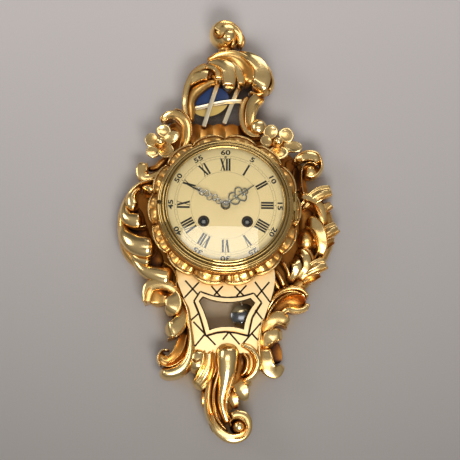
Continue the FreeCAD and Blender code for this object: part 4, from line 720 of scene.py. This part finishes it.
# Bottom drop: a bright centre rib, a double stem that ends in a volute with a ball, leaves both sides, and a
# small medallion with a crescent notch. Carved limewood, gilded, glued under the lattice panel.
drop = [
    strand([(-14, -200), (-18, -225), (-20, -248), (-15, -268)], [8, 10, 10, 8], [34, 37, 36, 33], shade_and_stain=0.05),
    strand([(4, -173), (4, -192), (3, -211), (0, -231), (-3, -248), (0, -263), (6, -279)],
           [29, 33, 30, 24, 17, 14, 10], [44, 49, 47, 43, 39, 36, 32], tips=(0.9, 1)),
    strand([(14, -212), (8, -229), (3, -248), (4, -263), (9, -274)], [4.5, 6, 6, 4.5, 3.5], [42, 43, 40, 34]),
    strand([(-12, -180), (-11, -210), (-16, -229), (-18, -248), (-15, -267), (-7, -281), (4, -290)],
           [10, 12, 14, 15, 17, 15, 12], [36, 41, 40, 36, 34], DOUBLE),
    strand([(-18, -181), (-19, -204), (-26, -220), (-36, -232)],
           [17, 20, 22, 17], [38, 40, 37, 29], FLAT, flutes=2, tips=(1, 0.6)),
    strand([(-25, -232), (-24, -246), (-25, -257)], [8, 10, 8], [22, 26, 22], FLAT),
    strand([(-19, -263), (-15, -277), (-10, -288)], [7, 8, 7], [20, 24, 20], FLAT),
    strand([(-18, -259), (-13, -278), (-3, -290), (11, -296), (25, -292), (31, -282), (29, -270), (19, -265),
            (7, -268)],
           [7, 8, 11, 12, 12, 10, 10, 10, 7.5], [30, 36, 38, 38, 36], FLAT, flip=True),
    strand([(9, -281), (8, -274), (16, -270), (26, -275), (29, -285), (23, -294), (12, -296)],
           [3, 3.5, 4, 4.5, 4.5, 4.5, 3.5], [36, 40, 41, 41, 39]),
    # A low boss inside the volute ring, painted dark as shade.
    lump(18, -280, 15, 10.5, 8, 10.5, 0, 0.9),
    lump(19, -281, 32, 8, 8, 8),
    strand([(19, -176), (33, -182), (42, -193), (43, -205), (36, -217), (24, -224)],
           [10, 12, 12, 12, 10, 7.5], [36, 40, 40, 34]),
    strand([(22, -181), (33, -190), (35, -204), (28, -218)], [12, 14, 14, 10], [32, 34, 31], shade_and_stain=0.15),
    strand([(23, -186), (30, -197), (28, -210), (22, -217)], [4.5, 6, 6, 4.5], [36, 39, 35]),
    lump(23, -197, 20, 6.5, 10, 11.5, 0, 0.65),
    strand([(22, -220), (30, -224), (36, -228)], [8, 10, 6], [24, 28, 24], FLAT),
    strand([(14, -216), (22, -233), (30, -248)], [15, 20, 12], [25, 30, 26], FLAT, flutes=1, tips=(1, 1.6)),
    strand([(8, -228), (12, -244), (16, -258)], [10, 14, 8], [22, 26, 20], FLAT, flutes=1),
    strand([(2, -176), (0, -207), (-6, -232), (-9, -255), (-1, -277)],
           [68, 64, 41, 29, 20], [30, 32, 28, 24], shade_and_stain=0.4, tips=(0.2, 1)),
    strand([(-34, -179), (-34, -198), (-35, -215)], [20, 24, 20], [37, 40, 38], DOME),
    # The crescent notch: a thin strand painted black as shade.
    strand([(-41, -196), (-36, -200), (-30, -197)], [2.5, 3, 2.5], [41, 42, 41], back=36, shade_and_stain=1.0),
]
carving("bottom_drop_carving", drop, "bottom_drop")

# Dial: a pressed brass plate, finished in pale gold and lacquered, with the chapter printed on it in black.
# Four screws hold it to the movement.
# Fine blasted brass under a clear pale lacquer: an even satin face with no grain of its own.
dial_gold, tree = blank_material("pale_gold_dial_lacquer")
tone = blend(tree, clouds(tree, 55.0, Detail=3.0), "F4DCA2", "EACD90")
bump = add(tree, "Bump", Strength=0.08, Distance=0.0001, Height=clouds(tree, 0.4, Detail=1.0))
plain_surface(tree, Base_Color=tone, Metallic=0.25, Roughness=0.42, Normal=bump)
coat(dial_gold, "dial_plate")
PRINT_DEPTH = 66.06
NUMERALS = ["XII", "I", "II", "III", "IIII", "V", "VI", "VII", "VIII", "IX", "X", "XI"]
NUMERAL_FOOT, NUMERAL_TOP = 46.5, 62.4
LETTER_WIDTH = {"I": 3.5, "V": 6.6, "X": 7.0}
THICK, THIN, V_HALF, X_HALF = 2.5, 0.9, 2.1, 2.2
SERIF_REACH, SERIF_HALF = 1.6, 0.22
CHAPTER_RINGS, RING_WIDE = (45, 63.2, 66.3), 0.22
MINUTE_TRACK, HOUR_DOT, MINUTE_DOT = 64.8, 0.75, 0.38
TWELVE_RING, TWELVE_WIDE = 1.2, 0.7
LABEL_FOOT, LABEL_TALL, LABEL_BOLD, LABEL_STRETCH = 68.0, 8.9, 0.27, 1.45
printing = []


def turned_point(x, r, hour_angle):
    """A point x to the side and r out, on a radius turned clockwise from twelve."""
    return (x * math.cos(hour_angle) + r * math.sin(hour_angle), r * math.cos(hour_angle) - x * math.sin(hour_angle))


def print_corners(corners, angle):
    printing.append(flat_strip([turned_point(x, r, angle) for x, r in corners], PRINT_DEPTH))


def stroke(x0, x1, wide, angle):
    """A numeral's stroke from x0 at its foot to x1 at its top, with fine serifs at both ends."""
    half, foot, top = wide / 2, NUMERAL_FOOT, NUMERAL_TOP
    print_corners([(x0 + half, foot), (x0 - half, foot), (x1 - half, top), (x1 + half, top)], angle)
    for x, r in ((x0, foot), (x1, top)):
        left, right, low, high = x - SERIF_REACH, x + SERIF_REACH, r - SERIF_HALF, r + SERIF_HALF
        print_corners([(left, high), (left, low), (right, low), (right, high)], angle)


def hoop(radius, wide, depth, x=0.0, z=0.0, thick=LINE_THICK):
    """A flat ring with its front at the depth given."""
    made, around, across = sheet_mesh(96, 4)
    turn = 2 * math.pi * around
    step = np.round(across * 4).astype(int)
    r = radius + wide * np.array([-0.5, 0.5, 0.5, -0.5, -0.5])[step]
    front = depth - thick * np.array([0, 0, 1, 1, 0])[step]
    return shape_sheet(made, x + r * np.cos(turn), z + r * np.sin(turn), front, np.zeros(len(r)))


for hour, letters in enumerate(NUMERALS):
    angle = math.radians(30 * hour)
    across = -sum(LETTER_WIDTH[c] for c in letters) / 2
    for letter in letters:
        middle = across + LETTER_WIDTH[letter] / 2
        if letter == "I":
            stroke(middle, middle, THICK, angle)
        elif letter == "V":
            stroke(middle, middle - V_HALF, THICK, angle)
            stroke(middle, middle + V_HALF, THIN, angle)
        else:
            stroke(middle + X_HALF, middle - X_HALF, THICK, angle)
            stroke(middle - X_HALF, middle + X_HALF, THIN, angle)
        across += LETTER_WIDTH[letter]
printing.append(hoop(TWELVE_RING, TWELVE_WIDE, PRINT_DEPTH, 0, MINUTE_TRACK))
printing += [hoop(radius, RING_WIDE, PRINT_DEPTH) for radius in CHAPTER_RINGS]
for minute in range(60):
    half = HOUR_DOT if minute % 5 == 0 else MINUTE_DOT
    dot = [(-half, MINUTE_TRACK), (0, MINUTE_TRACK - half), (half, MINUTE_TRACK), (0, MINUTE_TRACK + half)]
    print_corners(dot, math.radians(6 * minute))
for minute in range(5, 65, 5):
    bpy.ops.object.select_all(action="DESELECT")
    bpy.ops.object.text_add()
    label = bpy.context.object
    label.data.body = str(minute)
    label.data.size = LABEL_TALL / 1000
    label.data.offset = LABEL_BOLD / 1000
    label.data.align_x = "CENTER"
    label.data.resolution_u = 3
    bpy.ops.object.convert(target="MESH")
    for vertex in label.data.vertices:
        along, out = vertex.co.x * 1000 * LABEL_STRETCH, LABEL_FOOT + vertex.co.y * 1000
        vertex.co = spot(*turned_point(along, out, math.radians(6 * minute)), PRINT_DEPTH)
    printing.append(label)
# Printing ink, baked on: a dense black with little shine.
ink_and_hole_shade = stain("black_ink_and_hole_shade", "0C0A08", 0.45)
finish_piece("dial_printing", printing, ink_and_hole_shade, "dial")

# Winding hole shades: painted shade, a flat black ring behind each hole in the dial, round the winding square, that
# stands for the shade inside the hole. They sit on the back of the dial.
WINDING_ASIDE, WINDING_BELOW = 28.2, 22.0
SHADE_RADIUS, SHADE_WIDE, SHADE_DEPTH = 4.0, 2.3, 61.5
places = [(side * WINDING_ASIDE, -WINDING_BELOW) for side in (-1, 1)]
shades = [hoop(SHADE_RADIUS, SHADE_WIDE, SHADE_DEPTH, *place) for place in places]
finish_piece("winding_hole_shades", shades, ink_and_hole_shade, "dial")

# Bezel: a spun brass ring with rolled reeds and a fine milled band, polished and lacquered. It is the door, and
# turns on a hinge at the right of the drum.
# the ring's section: radius and depth from the wall
BEZEL_PROFILE = [
    (86.8, 59), (88.9, 59), (89, 60), (89, 64.2), (88.4, 65.4), (87.2, 65.9), (86.9, 66.6), (87.9, 67.4), (88, 68.6),
    (87.2, 69.8), (86.2, 70.1), (85, 70), (84.8, 70.8), (85.7, 71.8), (85.4, 72.9), (84.2, 73.5), (83.2, 73.2),
    (82.8, 72.2), (82.2, 72.2), (81.8, 73.5), (81.2, 74.7), (80.2, 75.2), (79.2, 75), (78.7, 73.9), (78.1, 73.9),
    (77.7, 75), (76.9, 75.5), (75.9, 75.4), (75.4, 74.8), (75.3, 73.4), (82, 73.4), (82, 71.4), (80.2, 71.4),
    (80.2, 70.2), (83.6, 70), (86.6, 66), (86.8, 59),
]
MILL_RADIUS_MM, MILL_HALF_MM, MILL_PITCH_MM = 82.9, 0.6, 1.24
GROOVE_MM = 2.5
profile = np.array(BEZEL_PROFILE)
ring, around, along = sheet_mesh(240, len(profile) - 1)
radius, depth = profile[np.round(along * (len(profile) - 1)).astype(int)].T
turn = 2 * math.pi * around
ring = shape_sheet(ring, radius * np.cos(turn), radius * np.sin(turn), depth, np.zeros(len(turn)))
# Spun brass, buffed and lacquered: mirror-bright bands on the reeds; painted shade turns the grooves black, by how
# closed in each place is.
bezel_brass, tree = blank_material("polished_bezel_brass")
coords = add(tree, "TexCoord").outputs["Object"]
about_dial = add(tree, "Mapping", Vector=coords, Location=(0, 0, DIAL_BELOW_HANGER / 1000))
place = add(tree, "SeparateXYZ", Vector=about_dial).outputs
spin = maths(tree, "ARCTAN2", place["Z"], place["X"], clamp=False)
tooth_count = round(2 * math.pi * MILL_RADIUS_MM / MILL_PITCH_MM)
teeth = maths(tree, "SINE", maths(tree, "MULTIPLY", spin, tooth_count, clamp=False), clamp=False)
in_plane = add(tree, "VectorMath", {"operation": "MULTIPLY"}, i0=about_dial, i1=(1, 0, 1))
out = add(tree, "VectorMath", {"operation": "LENGTH"}, i0=in_plane).outputs["Value"]
apart = maths(tree, "ABSOLUTE", maths(tree, "SUBTRACT", out, MILL_RADIUS_MM / 1000, clamp=False))
milled = maths(tree, "MULTIPLY", teeth, maths(tree, "LESS_THAN", apart, MILL_HALF_MM / 1000), clamp=False)
bump = add(tree, "Bump", Strength=0.25, Distance=0.0001, Height=milled)
tone = blend(tree, clouds(tree, 16.0, Detail=3.0), "E4C484", "CCA45A")
unshaded = spread(tree, openness(tree, GROOVE_MM), 0.4, 0.76)
plain_surface(tree, Base_Color=blend(tree, unshaded, "120B03", tone), Metallic=1.0, Roughness=0.05, Normal=bump)
finish_piece("bezel_reeded_ring", [ring], bezel_brass, "brass", "door", "bezel_ring")

# Glass: a domed clear glass sprung into the groove of the bezel. Blown and ground to a round.
# Clear glass, polished: it hides nothing and lays a faint mirror of the room over the dial.
clear, tree = blank_material("clear_domed_glass")
through = add(tree, "BsdfTransparent", Color=blend(tree, clouds(tree, 110.0), "FFFFFF", "FAFCFA"))
mirror = add(tree, "BsdfGlossy", Color=srgb("FFFFFF"), Roughness=0.015)
both = add(tree, "MixShader", i0=0.04, i1=through, i2=mirror)
add(tree, "OutputMaterial", Surface=both)
coat(clear, "bezel_glass")

# Hands: pierced steel hands, cut as serpentine filigree and left bright, the minute hand's tip blackened. Each
# is pressed on its pipe, and a nut holds the minute hand.
HOUR_TURN, HOUR_BACK = math.radians(54.8), 68.2
MINUTE_TURN, MINUTE_BACK = math.radians(297.0), 71
HAND_THICK, EYE_THICK = 0.9, 0.8
# the hour hand: on each side a small loop, a large loop and a bar that joins the large one to the tip
SMALL_LOOP = [(0, 7), (5, 8.5), (8.4, 13.5), (6, 18.4), (2, 17), (3.6, 13.4)]
LARGE_LOOP = [(0, 18), (5.5, 19), (10.2, 23.6), (7, 28.6), (2.4, 27), (4.6, 23.2)]
TIP_BAR = [(0, 26), (3.4, 29), (3.2, 33), (0, 35)]
# the minute hand: a chain of rings, each given by its place out and half its width, with a wavy line through it
CHAIN, RING_TALL, RING_ASIDE = [(10, 3), (16, 4.2), (22.4, 4.4), (28.4, 3.8), (33.8, 3), (38.4, 2.2)], 3.4, 1.2
WAVE_HALF, WAVE_TURN = 2.6, 0.66


def hand_strand(points, widths, back, angle):
    front = back + HAND_THICK
    return strand([turned_point(x, r, angle) for x, r in points], widths, [front, front], FLAT, back=back)


def hour_line(points, *widths):
    return hand_strand(points, widths, HOUR_BACK, HOUR_TURN)


def minute_line(points, *widths):
    return hand_strand(points, widths, MINUTE_BACK, MINUTE_TURN)


hour_parts = [hour_line([(0, 3), (0, 10), (0, 20), (0, 32)], 2.4, 1.4, 1.3, 1.6),
              hour_line([(0, 30), (0, 37), (0, 46)], 2.6, 1.8, 0.9)]
for side in (-1, 1):
    for loop in (SMALL_LOOP, LARGE_LOOP):
        hour_parts.append(hour_line([(side * x, r) for x, r in loop], 1.4, 1.7, 1.9, 1.7, 1.4, 1.0))
    hour_parts.append(hour_line([(side * x, r) for x, r in TIP_BAR], 1.2, 1.5, 1.4, 1.1))
hour_parts.append(hoop(4.4, 2.2, HOUR_BACK + HAND_THICK, thick=EYE_THICK))
# Sawn and filed steel, left dull: a thin grey line that breaks up in the light, so the pattern reads as lace.
dull_steel = bare_metal("dull_filigree_steel", "A0A49C", 0.24, 2.0)
finish_piece("hour_hand_filigree", hour_parts, dull_steel, "steel", "hour_arbor", "hour_hand")
minute_parts = [minute_line([(0, 3), (0, 8)], 2, 1.6), hoop(3.2, 2.0, MINUTE_BACK + HAND_THICK, thick=EYE_THICK)]
ring_angles = np.linspace(-1.2, 2 * math.pi - 1.2, 13)
for i, (r, wide) in enumerate(CHAIN):
    aside = RING_ASIDE if i % 2 else -RING_ASIDE
    ring = [(aside + wide * math.cos(a), r + RING_TALL * math.sin(a)) for a in ring_angles]
    minute_parts.append(minute_line(ring, *[1.4] * 5))
wriggle = [(WAVE_HALF * math.sin(r * WAVE_TURN), r) for r in np.linspace(6, 38, 26)]
minute_parts.append(minute_line(wriggle, *[1.1] * 5))
# The same steel, finished brighter: the minute hand glints where the hour hand is grey.
silver_steel = bare_metal("bright_filigree_steel", "C4C0B6", 0.22, 2.0)
finish_piece("minute_hand_filigree", minute_parts, silver_steel, "steel", "minute_arbor", "minute_hand")
# Steel blackened in oil: a dull black point that reads against the pale dial.
black_steel = stain("blackened_steel", "15120E", 0.3)
tip = minute_line([(0, 36), (0, 46), (0, 61)], 2.4, 1.8, 0.9)
finish_piece("minute_hand_black_tip", [tip], black_steel, "steel", "minute_arbor")

# Room: a grey wall that shows only its front and lets soft light through to the back of the clock, a window
# below and one ahead, soft fills from the left, above and behind, and a dim room.
WALL_SIZE, WALL_BEHIND = 20, 0.004
WALL_DARK_AT, WALL_PALE_AT, CREST_FOOT, GAP_MM = -0.47, 0.23, 0.0, 60
bpy.ops.object.select_all(action="DESELECT")
bpy.ops.mesh.primitive_plane_add(size=WALL_SIZE, location=(0, WALL_BEHIND, 0), rotation=(math.radians(90), 0, 0))
wall = bpy.context.object
bpy.ops.object.transform_apply(location=True, rotation=True, scale=True)
wall.name = "grey_wall"
# Matt grey paint, with painted light: paler toward the top as light from above falls on it, a painted shadow behind the
# crest, and a painted warm bounce from the gold inside the window.
paint, tree = blank_material("grey_wall_paint")
height = axes(tree)["Z"]
level = spread(tree, height, WALL_DARK_AT, WALL_PALE_AT)
tone = add(tree, "ValToRGB", {"stops": [(0.0, "807C78"), (1.0, "BEB8B6")]}, Fac=level)
# Painted shadow and bounce: how closed in each place on the wall is, from the carving near it.
gap = spread(tree, openness(tree, GAP_MM), 0.6, 0.2, 0, 0.95)
upper = spread(tree, height, CREST_FOOT - 0.02, CREST_FOOT + 0.02)
warm = blend(tree, maths(tree, "SUBTRACT", gap, upper), tone, "A8906A")
shaded = blend(tree, maths(tree, "MULTIPLY", gap, upper), warm, "2E2824")
rays = add(tree, "LightPath").outputs
soft = maths(tree, "ADD", rays["Is Shadow Ray"], rays["Is Diffuse Ray"])
let_through = maths(tree, "ADD", add(tree, "NewGeometry").outputs["Backfacing"], soft)
matt = add(tree, "BsdfDiffuse", Color=shaded)
shown = add(tree, "MixShader", i0=let_through, i1=matt, i2=add(tree, "BsdfTransparent"))
add(tree, "OutputMaterial", Surface=shown)
wall.data.materials.append(paint)


def aim(thing, way):
    thing.rotation_mode = "QUATERNION"
    thing.rotation_quaternion = way.to_track_quat("-Z", "Y")


def panel_light(name, place, target, wide, tall, power):
    light = bpy.data.lights.new(name, "AREA")
    light.shape = "RECTANGLE"
    light.size = wide
    light.size_y = tall
    light.energy = power
    made = bpy.data.objects.new(name, light)
    bpy.context.collection.objects.link(made)
    made.visible_camera = False
    made.location = place
    aim(made, Vector(target) - Vector(place))


panel_light("window_below", (0.12, -1.1, -0.9), (0, 0, -0.15), 0.6, 0.4, 13.0)
panel_light("window_ahead", (0.0, -3.0, -0.3), (0, 0, 0), 1.9, 0.75, 11.0)
panel_light("fill_left", (-1.3, -0.9, 0.3), (0, 0, -0.1), 0.5, 0.9, 6.0)
panel_light("fill_above", (0.5, -0.75, 1.3), (0, 0, -0.1), 1.2, 0.5, 5.0)
panel_light("fill_behind", (-0.5, 1.1, 0.4), (0, 0, -0.1), 0.8, 0.8, 8.0)
# The room ahead, from floor to ceiling: a dark edge, bright windows and grey walls. Its sides are plain grey.
BANDS = [(0.0, "A8A4A0"), (0.24, "B8B4B0"), (0.3, "201B18"), (0.37, "181412"), (0.41, "E8E6E4"), (0.49, "F4F2F0"),
         (0.52, "A8A4A0"), (0.6, "AAA6A2"), (0.68, "96928E"), (0.74, "A8A4A0"), (0.8, "B4B0AC"), (0.86, "5A5654"),
         (1.0, "8A8682")]
room = bpy.data.worlds.new("room")
bpy.context.scene.world = room
room.use_nodes = True
tree = room.node_tree
tree.nodes.clear()
way = axes(tree, "Generated")
ahead = add(tree, "ValToRGB", {"stops": BANDS}, Fac=spread(tree, way["Z"], -1, 1))
aside = spread(tree, maths(tree, "ABSOLUTE", way["X"]), 0.25, 0.45)
power = spread(tree, way["Y"], -0.2, -0.95, 0.42, 0.9)
air = add(tree, "Background", Color=blend(tree, aside, ahead, "A8A4A0"), Strength=power)
add(tree, "OutputWorld", Surface=air)

# Camera: below the clock and a little to its left, looking up at it, as the photograph was taken.
# A long lens at 1.3 m, with no depth of field.
AZIMUTH, ELEVATION, DISTANCE = math.radians(-2.8), math.radians(-13.3), 1.3
LOOKED_AT = spot(6.4, -30.7, 55)
level = math.cos(ELEVATION)
back = Vector((math.sin(AZIMUTH) * level, -math.cos(AZIMUTH) * level, math.sin(ELEVATION)))
lens = bpy.data.cameras.new("camera")
lens.lens = 78.26
lens.sensor_width = 36.0
camera = bpy.data.objects.new("camera", lens)
bpy.context.collection.objects.link(camera)
camera.location = LOOKED_AT + back * DISTANCE
aim(camera, -back)
bpy.context.scene.camera = camera
bpy.context.scene.view_settings.view_transform = "Standard"
